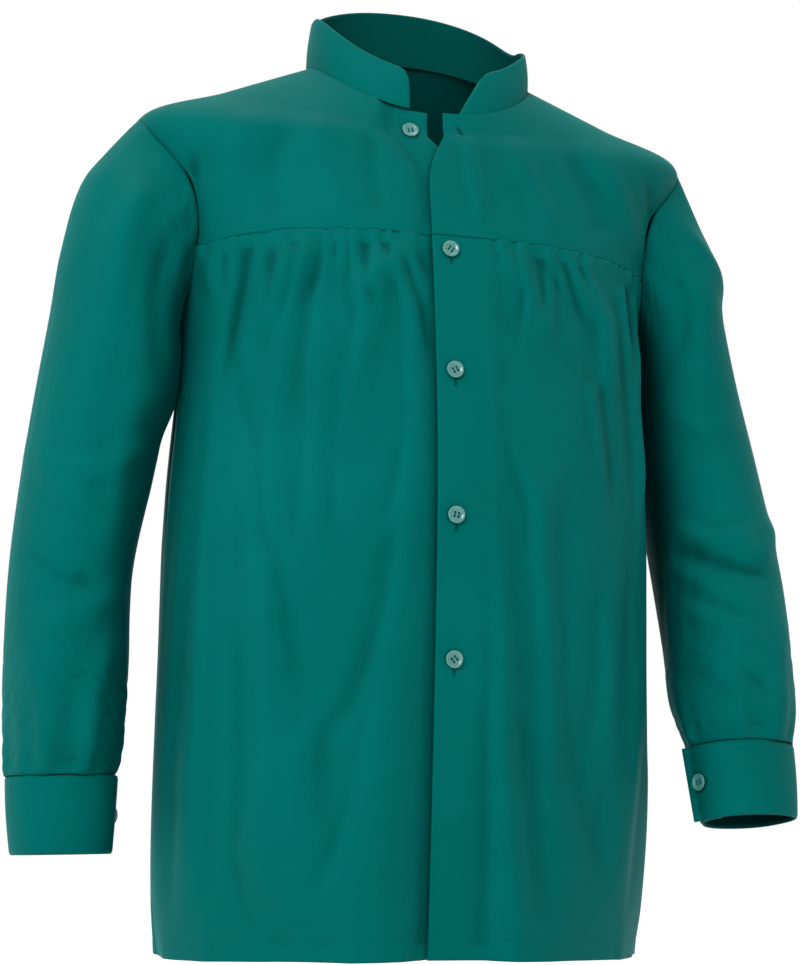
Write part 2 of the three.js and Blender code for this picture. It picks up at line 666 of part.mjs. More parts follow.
// A button and its thread, turned about the line that stands square on the cloth.
function addButton(name, surface, normal, up, turn, shank) {
  const side = up.clone().cross(normal).normalize();
  const top = normal.clone().cross(side);
  const group = new THREE.Group();
  const basis = new THREE.Matrix4().makeBasis(side, top, normal);
  group.quaternion.setFromRotationMatrix(basis);
  group.rotateZ(deg(turn));
  group.position.copy(surface).addScaledVector(normal, BUTTON_LIFT);
  addPiece(name, buttonGeometry(), BUTTON_GREEN, 0.35, group);
  addPiece(`${name}_thread`, threadGeometry(shank), BUTTON_GREEN, 0.7, group);
  smock.add(group);
}

BUTTON_HEIGHTS.forEach((height, i) => {
  const undone = i === 0;
  const spot = buttonAngle(height, undone ? -1 : 1);
  const depth = undone ? DIVE : 0;
  const shank = undone ? BUTTON_LIFT - 0.3 : BUTTON_LIFT + DIVE - 0.3;
  const surface = under(spot.angle, spot.t, depth);
  const normal = bodyNormal(spot.angle, spot.t);
  const up = new THREE.Vector3(0, 0, 1);
  addButton(`front_button_${i + 1}`, surface, normal, up, BUTTON_TURNS[i], Math.max(shank, 0.6));
});

for (const [side, name] of [[1, 'left'], [-1, 'right']]) {
  const { surface, normal, up } = cuffButtonSpot(name, side);
  addButton(`cuff_button_${name}`, surface, normal, up, 20 * side, BUTTON_LIFT + cuffStep - 0.3);
}

smock.position.z = -NECK_HEIGHT;

export default smock;
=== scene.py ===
import json
import math

import bpy
import numpy as np
from mathutils import Matrix, Vector


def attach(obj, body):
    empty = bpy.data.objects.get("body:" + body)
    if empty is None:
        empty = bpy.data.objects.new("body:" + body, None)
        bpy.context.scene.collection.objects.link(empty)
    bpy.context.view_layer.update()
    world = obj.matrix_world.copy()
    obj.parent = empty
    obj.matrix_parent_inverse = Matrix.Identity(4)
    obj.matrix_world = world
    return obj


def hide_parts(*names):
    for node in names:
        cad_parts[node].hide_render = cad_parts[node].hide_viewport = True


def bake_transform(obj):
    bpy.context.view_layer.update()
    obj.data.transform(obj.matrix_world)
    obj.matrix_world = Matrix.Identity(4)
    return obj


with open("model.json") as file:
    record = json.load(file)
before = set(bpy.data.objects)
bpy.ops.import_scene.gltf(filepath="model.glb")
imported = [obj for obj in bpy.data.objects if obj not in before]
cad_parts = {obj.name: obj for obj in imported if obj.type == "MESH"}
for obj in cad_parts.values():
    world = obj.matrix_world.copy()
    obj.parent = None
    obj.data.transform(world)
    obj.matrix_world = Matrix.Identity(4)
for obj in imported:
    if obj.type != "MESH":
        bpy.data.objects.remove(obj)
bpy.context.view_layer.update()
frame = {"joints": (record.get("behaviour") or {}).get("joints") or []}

# ---- sizes, in millimetres measured from the hem, as the CAD model has them ----
MM = 0.001
NECK_HEIGHT = 753.0
# half width, front depth, back depth, widest point's y, height at side, front and back
RINGS = np.array([
    [198, 149, 133, -8, 0, 10, 0],
    [209, 151, 133, -8, 110, 110, 110],
    [209, 151, 126, -8, 250, 250, 250],
    [209, 147, 123, -2, 380, 380, 380],
    [200, 135, 121, 4, 480, 480, 480],
    [208, 115, 122, 8, 580, 580, 580],
    [224, 101, 117, 8, 636, 636, 655],
    [243, 90, 100, 8, 694, 672, 722],
    [172, 83, 84, 6, 724, 687, 758],
    [98, 80, 71, 2, 753, 702, 787],
], float)
TIP_T = 7.0
NECK_T = 9.0
UNDERARM_T = 4.51
ARMHOLE_T = (UNDERARM_T + TIP_T) / 2
YOKE_T = 5 + 8 / 56
YOKE_LAP = 0.012  # how far, in ring numbers, the yokes reach below their seams
ROUNDNESS = 2.3
ARMHOLE_FRONT = 25.0
ARMHOLE_BACK = 27.0
OVERLAP = 15.0
OPEN_LEFT = 16.0
OPEN_RIGHT = 27.0
PART_FROM = 5.9
PART_TO = 7.6
FACING = 40.0
DIVE = 3.7
DIVE_FULL = 32.0
DIVE_NONE = 48.0
BUTTON_HEIGHTS = [685, 577, 474, 356, 242]
BUTTON_TURNS = [8, -35, 28, -12, 40]

SLEEVE_CLOTH = 0.5
PANEL_CLOTH = 0.5
YOKE_CLOTH = 0.8
BACK_YOKE_CLOTH = 0.9
HEM_TURN = 0.9  # the layers that the turned hem adds
PUCKER, BACK_PUCKER = 2.0, 0.9  # how high the small pleats under the seams stand
HEM = 15.0  # depth of the turned hem
EDGE_STITCH = 2.0  # from a front edge to its row of stitches
NECK_RING = 9
HIP_LEVEL = 2.0  # ring number where the cloth's columns are spread at the hips
CLOTH_STEP = 5.2  # spacing of the simulated threads
FORM_ROOM = 4.5  # how far the form inside the smock stays under its surface
SIM_FRAMES = 46


# ---- the body surface ----
def signed_power(x):
    return np.sign(x) * np.abs(x) ** (2 / ROUNDNESS)


def ring_point(ring, angle):
    """A point of a level ring, or of one ring for each angle. The front is at angle 0."""
    turn = np.radians(angle)
    ahead = signed_power(np.cos(turn))
    front = ahead > 0
    depth = np.where(front, ring[..., 1] + ring[..., 3], ring[..., 2] - ring[..., 3])
    bend = np.abs(np.cos(turn)) ** 1.5
    end = np.where(front, ring[..., 5], ring[..., 6])
    x = ring[..., 0] * signed_power(np.sin(turn))
    y = ring[..., 3] - depth * ahead
    z = ring[..., 4] + (end - ring[..., 4]) * bend
    return np.stack([x, y, z], -1)


def through(a, b, c, d, f):
    bulge = (2 * b - a - c) * (1 - f) / 2 + (2 * c - b - d) * f / 2
    return b + (c - b) * f + bulge * f * (1 - f)


def body_point(angle, t):
    angle, t = np.broadcast_arrays(np.asarray(angle, float), np.asarray(t, float))
    low = np.clip(np.floor(t).astype(int), 0, len(RINGS) - 2)
    picks = [ring_point(RINGS[np.clip(low + k, 0, NECK_RING)], angle) for k in (-1, 0, 1, 2)]
    return through(*picks, (t - low)[..., None])


def unit(v):
    return v / np.maximum(np.linalg.norm(v, axis=-1, keepdims=True), 1e-9)


def body_normal(angle, t):
    along = body_point(angle + 0.5, t) - body_point(angle - 0.5, t)
    high = np.minimum(np.asarray(t, float) + 0.01, NECK_T)
    up = body_point(angle, high) - body_point(angle, np.maximum(high - 0.02, 0))
    return unit(np.cross(along, up))


def angle_at(x, t):
    low = np.clip(np.floor(t).astype(int), 0, len(RINGS) - 2)
    half = RINGS[low, 0] + (RINGS[low + 1, 0] - RINGS[low, 0]) * (t - low)
    share = np.minimum(np.abs(x) / half, 1) ** (ROUNDNESS / 2)
    return np.sign(x) * np.degrees(np.arcsin(share))


def smooth(x):
    x = np.clip(x, 0, 1)
    return x * x * (3 - 2 * x)


def armhole_cut(t, reach):
    share = (np.asarray(t, float) - ARMHOLE_T) / (TIP_T - ARMHOLE_T)
    return reach * np.sqrt(np.maximum(0, 1 - share * share))


def armhole_point(side, turn):
    turn = np.radians(turn)
    t = ARMHOLE_T + (TIP_T - ARMHOLE_T) * np.cos(turn)
    reach = np.where(np.sin(turn) > 0, ARMHOLE_FRONT, ARMHOLE_BACK)
    point = body_point(90 - reach * np.sin(turn), t)
    return point * np.array([side, 1, 1])


def chest_seam(angle):
    return YOKE_T - 0.14 * (np.asarray(angle) / 65) ** 2


def front_edge(side, t):
    parted = (OPEN_LEFT if side > 0 else OPEN_RIGHT) - OVERLAP
    return OVERLAP - (OVERLAP + parted) * smooth((t - PART_FROM) / (PART_TO - PART_FROM))


def front_depth(side, from_edge):
    if side > 0:
        return np.zeros_like(from_edge)
    return DIVE * (1 - smooth((from_edge - DIVE_FULL) / (DIVE_NONE - DIVE_FULL)))


def running(line):
    """Distance along a line of points, from its first."""
    return np.concatenate([[0], np.cumsum(np.linalg.norm(np.diff(line, axis=0), axis=1))])


def sampled(at, run, line):
    """The points, or normals, of a line at some distances along it."""
    return np.stack([np.interp(at, run, line[:, k]) for k in range(3)], -1)


def gap_to(grid, from_end):
    """Distance up or down each column from a grid's first or last row."""
    rows = grid[::-1] if from_end else grid
    away = np.linalg.norm(np.diff(rows, axis=0), axis=2).cumsum(0)
    away = np.concatenate([np.zeros((1, grid.shape[1])), away])
    return away[::-1] if from_end else away


def turned_to(normal, away):
    """The normals, turned over if most of them point against away."""
    return -normal if np.einsum("ijk,ijk->", normal, away) < 0 else normal


# ---- meshes from grids ----
def linked(name, data):
    obj = bpy.data.objects.new(name, data)
    bpy.context.scene.collection.objects.link(obj)
    return obj


def mesh_object(name, points, faces, uv=None):
    """points in millimetres from the hem. uv gives one pair for each point."""
    mesh = bpy.data.meshes.new(name)
    placed = np.asarray(points, float).reshape(-1, 3) * MM
    placed[:, 2] -= NECK_HEIGHT * MM
    mesh.from_pydata(placed.tolist(), [], faces)
    if uv is not None:
        layer = mesh.uv_layers.new(name="Weave")
        loops = np.empty(len(mesh.loops), np.int32)
        mesh.loops.foreach_get("vertex_index", loops)
        layer.data.foreach_set("uv", np.asarray(uv, np.float32)[loops].ravel())
    mesh.polygons.foreach_set("use_smooth", np.ones(len(mesh.polygons), bool))
    mesh.validate()
    return linked(name, mesh)


def grid_faces(tall, wide, closed=False, start=0, flip=False):
    i, j = np.meshgrid(np.arange(tall - 1), np.arange(wide if closed else wide - 1), indexing="ij")
    a = (start + i * wide + j).ravel()
    b = (start + i * wide + (j + 1) % wide).ravel()
    quads = np.stack([a, b, b + wide, a + wide], -1)
    return (quads[:, ::-1] if flip else quads).tolist()


def rim_faces(outer, inner, closed=False):
    """Joins two matching loops of point numbers."""
    faces = []
    count = len(outer)
    for k in range(count if closed else count - 1):
        n = (k + 1) % count
        faces.append([outer[k], inner[k], inner[n], outer[n]])
    return faces


def shell(name, out, inn, closed=False, uv=None, fold_shade=None):
    """A closed cloth solid between two grids of points, whose rows run around or across."""
    tall, wide = out.shape[:2]
    count = tall * wide
    faces = grid_faces(tall, wide, closed) + grid_faces(tall, wide, closed, count, True)
    number = np.arange(count).reshape(tall, wide)
    faces += rim_faces(number[0], number[0] + count, closed)
    faces += rim_faces(number[-1][::-1], number[-1][::-1] + count, closed)
    if not closed:
        faces += rim_faces(number[::-1, 0], number[::-1, 0] + count)
        faces += rim_faces(number[:, -1], number[:, -1] + count)
    points = np.concatenate([out.reshape(-1, 3), inn.reshape(-1, 3)])
    if uv is not None:
        uv = np.concatenate([uv.reshape(-1, 2)] * 2)
    obj = mesh_object(name, points, faces, uv)
    obj["outer_faces"] = (tall - 1) * (wide if closed else wide - 1)
    # the fold depths given here are stored on the points as painted shade, which the cloth material
    # uses to darken folds
    if fold_shade is not None:
        deep = obj.data.attributes.new("PaintedFoldShade", "FLOAT", "POINT")
        deep.data.foreach_set("value", np.tile(fold_shade.ravel(), 2).astype(np.float32))
    return face_out(obj)


def soften(grid, times, closed=False):
    """The grid with each point drawn to the mean of its neighbours."""
    for _ in range(times):
        wrapped = "wrap" if closed else "edge"
        wide = np.pad(grid, ((1, 1), (0, 0), (0, 0)), "edge")
        grid = (wide[:-2] + 2 * wide[1:-1] + wide[2:]) / 4
        wide = np.pad(grid, ((0, 0), (1, 1), (0, 0)), wrapped)
        grid = (wide[:, :-2] + 2 * wide[:, 1:-1] + wide[:, 2:]) / 4
    return grid


def fold_shade_of(grid, normal, closed=False):
    """How deep each point lies in a fold, 0 to 1: the amount of painted shade that darkens the
    cloth's colour there.
    """
    small = ((soften(grid, 10, closed) - grid) * normal).sum(-1)
    large = ((soften(grid, 60, closed) - grid) * normal).sum(-1)
    edge = np.ones(grid.shape[:2])
    edge[:5] = edge[-5:] = 0
    if not closed:
        edge[:, :5] = edge[:, -5:] = 0
    return np.clip(small / 0.9, 0, 1) * edge * 0.6 + np.clip(large / 3.0, 0, 1) * edge * 0.5


def face_out(obj):
    """Turns the faces over if the closed mesh is inside out."""
    mesh = obj.data
    co = np.empty(len(mesh.vertices) * 3)
    mesh.vertices.foreach_get("co", co)
    co = co.reshape(-1, 3)
    mesh.calc_loop_triangles()
    tris = np.empty(len(mesh.loop_triangles) * 3, np.int32)
    mesh.loop_triangles.foreach_get("vertices", tris)
    a, b, c = (co[tris.reshape(-1, 3)[:, k]] for k in range(3))
    if np.einsum("ij,ij->i", a, np.cross(b, c)).sum() < 0:
        mesh.flip_normals()
    return obj


def refine(grid, closed=False):
    """Twice as many rows and columns, on a smooth surface."""
    def along(g, wrap):
        if wrap:
            before, after = np.roll(g, 1, 0), np.roll(g, -1, 0)
            after2 = np.roll(g, -2, 0)
            middle = (9 * (g + after) - before - after2) / 16
            out = np.empty((2 * len(g),) + g.shape[1:])
            out[0::2], out[1::2] = g, middle
            return out
        first, last = 2 * g[:1] - g[1:2], 2 * g[-1:] - g[-2:-1]
        wide = np.concatenate([first, g, last])
        middle = (9 * (wide[1:-2] + wide[2:-1]) - wide[:-3] - wide[3:]) / 16
        out = np.empty((2 * len(g) - 1,) + g.shape[1:])
        out[0::2], out[1::2] = g, middle
        return out
    grid = along(grid, False)
    return np.swapaxes(along(np.swapaxes(grid, 0, 1), closed), 0, 1)


def grid_normals(grid, closed=False):
    rise = np.gradient(grid, axis=0)
    if closed:
        across = np.roll(grid, -1, 1) - np.roll(grid, 1, 1)
    else:
        across = np.gradient(grid, axis=1)
    return unit(np.cross(across, rise))


# ---- the lower body's cloth ----
def chest_and_armhole(angle):
    """Ring number of the lower body's top edge, from the centre front to the centre back."""
    angle = np.asarray(angle, float)
    front = chest_seam(angle)
    near = np.where(angle < 90, (90 - angle) / ARMHOLE_FRONT, (angle - 90) / ARMHOLE_BACK)
    drop = (TIP_T - ARMHOLE_T) * np.sqrt(np.maximum(0, 1 - np.minimum(near, 1) ** 2))
    armhole = ARMHOLE_T - drop
    return np.where(angle < 90, np.minimum(front, np.where(near < 1, armhole, front)),
                    np.where(near < 1, armhole, ARMHOLE_T))


GATHER = 1.32  # cloth length over seam length under the front yokes
BACK_GATHER = 1.14
PATTERN_TAPER = 0.09  # how much narrower the fronts get below their gathers
FLAT_STRIP = 34.0  # plain stretch beside a front edge
FRONT_LENGTH = 590.0


def pattern_columns():
    """For each column of cloth: its ring angle at the top and at the hip, and its place
    across the flat pattern. One half front and one half back."""
    halves = []
    for front in (True, False):
        ends = (float(angle_at(-OVERLAP, np.float64(HIP_LEVEL))), 90) if front else (90, 180)
        angles = np.linspace(*ends, 600)
        top = body_point(angles, chest_and_armhole(angles))
        hip = body_point(angles, HIP_LEVEL)
        s_top = np.linalg.norm(np.diff(top[:, :2], axis=0), axis=1)
        s_hip = np.linalg.norm(np.diff(hip[:, :2], axis=0), axis=1)
        middle = (angles[1:] + angles[:-1]) / 2
        run = np.cumsum(s_top)
        if front:
            full = 1 + (GATHER - 1) * smooth((run - FLAT_STRIP) / 20) * (middle < 68)
        else:
            full = 1 + (BACK_GATHER - 1) * smooth((middle - 118) / 15)
        pattern = np.concatenate([[0], np.cumsum(s_top * full)])
        total = pattern[-1]
        count = int(round(total / CLOTH_STEP))
        place = np.linspace(0, total, count + 1)
        at_top = np.interp(place, pattern, angles)
        hip_run = np.concatenate([[0], np.cumsum(s_hip)])
        if front:
            share = np.maximum(0, place - FLAT_STRIP) / (total - FLAT_STRIP)
            hip_place = np.minimum(place, FLAT_STRIP) + share * (hip_run[-1] - FLAT_STRIP)
        else:
            hip_place = place / total * hip_run[-1]
        at_hip = np.interp(hip_place, hip_run, angles)
        halves.append((at_top, at_hip, place))
    return halves


def lower_body():
    """Start shape and flat pattern of the cloth from the hem to the chest seams.
    Columns run from the left front's edge round the back to the right front's edge."""
    (f_top, f_hip, f_place), (b_top, b_hip, b_place) = pattern_columns()
    back_total = f_place[-1] + 2 * b_place[-1]
    top, hip = (np.concatenate([front, back[1:], 360 - back[-2::-1], 360 - front[-2::-1]])
                for front, back in ((f_top, b_top), (f_hip, b_hip)))
    across = np.concatenate([f_place, f_place[-1] + b_place[1:], back_total - b_place[-2::-1],
                             back_total + f_place[-1] - f_place[-2::-1]])
    marks = {"left": len(f_top) - 1}
    marks["right"] = marks["left"] + 2 * (len(b_top) - 1)
    from_edge = np.minimum(across, across[-1] - across)
    rows = int(round(FRONT_LENGTH / CLOTH_STEP)) + 1
    share = np.linspace(0, 1, 240)
    start = np.zeros((rows, len(top), 3))
    height = np.zeros((rows, len(top)))
    mirrored = np.where(top > 180, 360 - top, top)
    top_t = chest_and_armhole(np.maximum(mirrored, 0))
    for k in range(len(top)):
        t = share * top_t[k]
        blend = smooth(t / top_t[k]) ** 1.3
        angle = hip[k] + (top[k] - hip[k]) * blend
        if from_edge[k] < DIVE_NONE:
            x = -(OVERLAP - from_edge[k])
            fixed = angle_at(x, t) if k < len(top) / 2 else 360 - angle_at(x, t)
            weight = 1 - smooth((from_edge[k] - FLAT_STRIP) / (DIVE_NONE - FLAT_STRIP))
            angle = angle + (fixed - angle) * weight
        line = body_point(angle, t)
        run = running(line)
        even = np.linspace(0, run[-1], rows)
        t_row = np.interp(even, run, t)
        a_row = np.interp(even, run, angle)
        right = k > len(top) / 2
        depth = front_depth(-1, from_edge[k:k + 1])[0] if right else 0.0
        start[:, k] = body_point(a_row, t_row) - depth * body_normal(a_row, t_row)
        height[:, k] = even
    return {"start": start, "across": across, "height": height, "marks": marks,
            "from_edge": from_edge}


# ---- sleeves ----
# Outer and inner edge of each section seen from the front, its y and its half depth.
SLEEVES = {
    "right": [
        [284, 640, 208, 512, 8, 72], [303, 565, 209, 468, 8, 71], [313, 500, 215, 425, 6, 67],
        [324, 420, 222, 385, 4, 62], [334, 320, 236, 310, 0, 58], [336, 230, 237, 230, -8, 57],
        [334, 175, 240, 175, -15, 53],
    ],
    "left": [
        [275, 615, 208, 512, 8, 72], [287, 555, 209, 465, 7, 71], [301, 495, 215, 425, 4, 68],
        [320, 420, 220, 385, -2, 64], [334, 325, 224, 318, -24, 62],
        [334, 250, 225, 260, -47, 60], [332, 208, 224, 212, -62, 54],
    ],
}
CUFFS = {
    "right": {"middle": (289, -21, 142), "down": (-0.02, -0.08, -1), "half": 43, "depth": 37,
              "open": 198},
    "left": {"middle": (279, -75, 176), "down": (0.02, -0.24, -1), "half": 46, "depth": 39,
             "open": 162},
}
SIDES = {"left": 1, "right": -1}
CUFF_HEIGHT = 62.0
CUFF_TAPER = 0.9
CUFF_OVERLAP = 36.0
CUFF_STEP = 4.1


def cuff_frame(name):
    side, place = SIDES[name], CUFFS[name]
    middle = np.array(place["middle"], float) * [side, 1, 1]
    down = unit(np.array(place["down"], float) * [side, 1, 1])
    across = unit(np.array([side, 0, 0]) - side * down[0] * down)
    ahead = np.cross(down, across) * side
    return middle, down, across, ahead


def cuff_point(name, turn, along, depth=0.0):
    place = CUFFS[name]
    middle, down, across, ahead = cuff_frame(name)
    turn = np.radians(np.asarray(turn, float))
    along = np.asarray(along, float)
    taper = 1 + (CUFF_TAPER - 1) * along / CUFF_HEIGHT
    a, b = place["half"] * taper, place["depth"] * taper
    c, s = np.cos(turn), np.sin(turn)
    size = np.hypot(c / a, s / b)
    x = a * c - depth * (c / a) / size
    y = b * s - depth * (s / b) / size
    return (middle + along[..., None] * down + x[..., None] * across + y[..., None] * ahead)


def sleeve_point(name, turn, s):
    """A point of the sleeve: s is 0 at the armhole and one more than its sections at the cuff."""
    side, sections = SIDES[name], SLEEVES[name]
    last = len(sections) + 1
    turn, s = np.broadcast_arrays(np.asarray(turn, float), np.asarray(s, float))
    rad = np.radians(turn)
    stops = [armhole_point(side, turn)]
    for x0, z0, x1, z1, y, depth in sections:
        outer, inner = np.array([side * x0, y, z0]), np.array([side * x1, y, z1])
        middle = (outer + inner) / 2
        stops.append(middle + (outer - middle) * np.cos(rad)[..., None]
                     + np.array([0, -depth, 0]) * np.sin(rad)[..., None])
    stops.append(cuff_point(name, turn, np.zeros_like(turn)))
    stops = np.stack(stops)
    low = np.clip(np.floor(s).astype(int), 0, last - 1)

    def pick(k):
        index = np.clip(low + k, 0, last)
        return np.take_along_axis(stops, index[None, ..., None], 0)[0]
    return through(pick(-1), pick(0), pick(1), pick(2), (s - low)[..., None])


SLEEVE_FULL = [1.0, 1.03, 1.05, 1.07, 1.08, 1.09, 1.10, 1.12, 1.22]
SLEEVE_SLACK = 1.045


def sleeve_cloth(name):
    """Start shape and flat pattern of one sleeve's cloth."""
    last = len(SLEEVES[name]) + 1
    s_fine = np.linspace(0, last, 400)
    turns = np.arange(0, 360, 4.5)
    lines = sleeve_point(name, turns[None, :], s_fine[:, None])
    length = np.linalg.norm(np.diff(lines, axis=0), axis=2)
    rows = int(round(length.sum(0).mean() / CLOTH_STEP)) + 1
    start = np.zeros((rows, len(turns), 3))
    height = np.zeros((rows, len(turns)))
    for k in range(len(turns)):
        run = np.concatenate([[0], np.cumsum(length[:, k])])
        even = np.linspace(0, run[-1], rows)
        s_row = np.interp(even, run, s_fine)
        start[:, k] = sleeve_point(name, np.full(rows, turns[k]), s_row)
        height[:, k] = even
    around = np.linalg.norm(np.roll(start, -1, 1) - start, axis=2).sum(1)
    s_mean = np.interp(np.linspace(0, 1, rows),
                       np.concatenate([[0], np.cumsum(length.mean(1))]) / length.mean(1).sum(),
                       s_fine)
    full = np.interp(s_mean, np.arange(last + 1), SLEEVE_FULL)
    radius = around * full / (2 * math.pi)
    return {"start": start, "radius": radius, "height": height * SLEEVE_SLACK, "turns": turns}


# ---- cloth simulation ----
CLOTH_SETTINGS = {
    "quality": 7, "mass": 0.02, "air_damping": 3, "pin_stiffness": 4,
    "tension_stiffness": 40, "compression_stiffness": 20, "shear_stiffness": 10,
    "bending_stiffness": 0.6, "tension_damping": 8, "compression_damping": 8,
    "shear_damping": 8, "bending_damping": 0.5,
}


def add_cloth(name, start, rest, pin, closed):
    tall, wide = start.shape[:2]
    obj = mesh_object(name, start, grid_faces(tall, wide, closed))
    obj.shape_key_add(name="Basis")
    flat = obj.shape_key_add(name="Flat")
    placed = np.asarray(rest, float).reshape(-1, 3) * MM
    flat.data.foreach_set("co", placed.ravel())
    group = obj.vertex_groups.new(name="pin")
    flat_pin = np.round(pin.ravel(), 2)
    for level in np.unique(flat_pin):
        if level > 0:
            members = np.nonzero(flat_pin == level)[0].tolist()
            group.add(members, float(level), "REPLACE")
    cloth = obj.modifiers.new("Cloth", "CLOTH")
    made = cloth.settings
    made.rest_shape_key = flat
    made.vertex_group_mass = "pin"
    for key, value in CLOTH_SETTINGS.items():
        setattr(made, key, value)
    touching = cloth.collision_settings
    touching.use_collision = True
    touching.distance_min = 0.0015
    touching.collision_quality = 3
    touching.use_self_collision = False
    cloth.point_cache.frame_start = 1
    cloth.point_cache.frame_end = SIM_FRAMES
    return obj


def add_form(name, points, wearer):
    """The form that holds up one simulated cloth and touches no other."""
    tall, wide = points.shape[:2]
    obj = mesh_object(name, points, grid_faces(tall, wide, True))
    if name == "form_right":
        obj.data.flip_normals()
    group = bpy.data.collections.new(name)
    bpy.context.scene.collection.children.link(group)
    group.objects.link(obj)
    wearer.modifiers["Cloth"].collision_settings.collection = group
    obj.modifiers.new("Collision", "COLLISION")
    obj.collision.thickness_outer = 0.001
    obj.collision.thickness_inner = 0.02
    obj.collision.cloth_friction = 0.6
    return obj


def settled(obj, shape):
    """Where the simulated cloth's points lie now, as a grid."""
    evaluated = obj.evaluated_get(bpy.context.evaluated_depsgraph_get())
    co = np.empty(len(evaluated.data.vertices) * 3)
    evaluated.data.vertices.foreach_get("co", co)
    points = co.reshape(shape) / MM
    points[..., 2] += NECK_HEIGHT
    return points


def noise_line(seed, count, rough):
    """A smooth random line of values near -1 to 1, the same every time."""
    made = np.random.default_rng(seed).normal(size=count + 8 * rough)
    kernel = np.hanning(2 * rough + 1)
    line = np.convolve(made, kernel / kernel.sum(), "same")[4 * rough:4 * rough + count]
    return line / max(np.abs(line).max(), 1e-9)


# Folds to start from: the points they run through seen from the front, width and height.
FRONT_FOLDS = [
    ([(-97, 581), (-140, 545), (-158, 500), (-165, 440)], 13, 8),
    ([(-15, 584), (-60, 555), (-90, 525)], 9, 4),
    ([(-60, 580), (-75, 520), (-82, 440)], 12, 5),
    ([(-120, 560), (-112, 440), (-105, 300), (-100, 150)], 20, 6),
    ([(-150, 330), (-140, 180), (-130, 20)], 22, 7),
    ([(-60, 300), (-62, 150), (-66, 20)], 24, 6),
    ([(45, 582), (70, 550), (92, 500)], 10, 5),
    ([(110, 568), (146, 530), (152, 450)], 10, 7),
    ([(172, 540), (180, 460), (180, 360)], 9, 9),
    ([(75, 420), (85, 260), (95, 90)], 22, 6),
    ([(140, 330), (150, 190), (160, 30)], 20, 7),
    ([(45, 230), (50, 110), (52, 15)], 18, 5),
]


def near_line(grid, line):
    """Distance of every point from a line of places seen from the front, how far along it
    lies, and on which side."""
    best = np.full(grid.shape[:2], 1e9)
    part, side = np.zeros(grid.shape[:2]), np.ones(grid.shape[:2])
    flat = grid[..., [0, 2]]
    for k in range(len(line) - 1):
        a, b = np.array(line[k], float), np.array(line[k + 1], float)
        along = np.clip(((flat - a) @ (b - a)) / ((b - a) @ (b - a)), 0, 1)
        away = np.linalg.norm(flat - a - along[..., None] * (b - a), axis=2)
        part = np.where(away < best, (k + along) / (len(line) - 1), part)
        turned = (b - a)[0] * (flat - a)[..., 1] - (b - a)[1] * (flat - a)[..., 0]
        side = np.where(away < best, np.sign(turned), side)
        best = np.minimum(best, away)
    return best, part, side


def add_folds(lift, grid, folds, fade_in, fade_out, where=1.0):
    """Adds ridges along lines, each fading towards its ends, to a grid of heights."""
    for line, width, height in folds:
        away, part, _ = near_line(grid, line)
        ends = smooth(part / fade_in) * smooth((1 - part) / fade_out)
        lift = lift + height * np.exp(-(away / width) ** 2) * ends * where
    return lift


def seeded(body):
    """The start shape with the beginnings of its gathers and folds."""
    grid = body["start"]
    rows, wide = grid.shape[:2]
    rise = np.linspace(0, 1, rows)[:, None]
    normal = turned_to(grid_normals(grid), grid - grid.mean((0, 1)))
    plain = smooth((body["from_edge"] - FLAT_STRIP) / 25)[None, :]
    lift = np.abs(noise_line(3, wide, 2))[None, :] * 3.0 * rise ** 5
    lift = lift + (noise_line(11, wide, 5)[None, :] + 0.6) * 5.0 * (1 - rise) ** 0.7
    lift = add_folds(lift, grid, FRONT_FOLDS, 0.2, 0.25, grid[..., 1] < -20)
    return grid + normal * (np.maximum(lift, 0) * plain)[..., None]


def tapered(body):
    """Places across the flat pattern, narrower below its gathers."""
    across = body["across"]
    left = across[body["marks"]["left"]]
    centre = across[-1] / 2
    level = np.linspace(0, 1, body["height"].shape[0])[:, None]
    narrow = 1 - PATTERN_TAPER * smooth((0.97 - level) / 0.35)
    edge = np.maximum(across - FLAT_STRIP, 0)
    front = FLAT_STRIP + edge * narrow
    side = FLAT_STRIP + (left - FLAT_STRIP) * narrow
    back = side + (across - left) * (1 - 0.03 * smooth((0.97 - level) / 0.35))
    half = np.where(across < FLAT_STRIP, across, np.where(across < left, front, back))
    mirrored = half[:, ::-1]
    middle = half[:, len(across) // 2][:, None]
    return np.where(across <= centre, half, 2 * middle - mirrored)


def simulate():
    body = lower_body()
    arms = {name: sleeve_cloth(name) for name in SIDES}
    rows, wide = body["height"].shape
    body["start"] = seeded(body)
    rest = np.zeros_like(body["start"])
    rest[..., 0] = tapered(body)
    rest[..., 2] = body["height"]
    pin = np.zeros((rows, wide))
    pin[-1] = 1
    strip = 1 - smooth((body["from_edge"] - 2 * OVERLAP - 4) / 26)
    pin = np.maximum(pin, strip[None, :])
    cloths = {"body": (add_cloth("sim_body", body["start"], rest, pin, False), body["start"].shape)}
    for name, arm in arms.items():
        turn = np.radians(arm["turns"])[None, :]
        ring = arm["radius"][:, None]
        rest = np.stack([ring * np.cos(turn), -SIDES[name] * ring * np.sin(turn),
                         -arm["height"]], -1)
        pin = np.zeros(arm["height"].shape)
        pin[0] = pin[-1] = 1
        pin[1] = 0.6
        cloths[name] = (add_cloth("sim_" + name, arm["start"], rest, pin, True),
                        arm["start"].shape)
    forms = [body_form(cloths["body"][0])]
    forms += [arm_form(name, cloths[name][0]) for name in SIDES]
    scene = bpy.context.scene
    for number in range(1, SIM_FRAMES + 1):
        scene.frame_set(number)
    hung = settled(*cloths["body"])
    calm = soften(hung, 2)
    keep = smooth(np.minimum(np.arange(rows), np.arange(rows)[::-1]) / 5)[:, None, None]
    keep = keep * smooth((body["from_edge"] - FLAT_STRIP) / 20)[None, :, None]
    body["start"] = hung + (calm - hung) * keep
    for name in SIDES:
        arms[name]["start"] = settled(*cloths[name])
    scene.frame_set(1)
    for obj in [c[0] for c in cloths.values()] + forms:
        bpy.data.objects.remove(obj, do_unlink=True)
    return body, arms


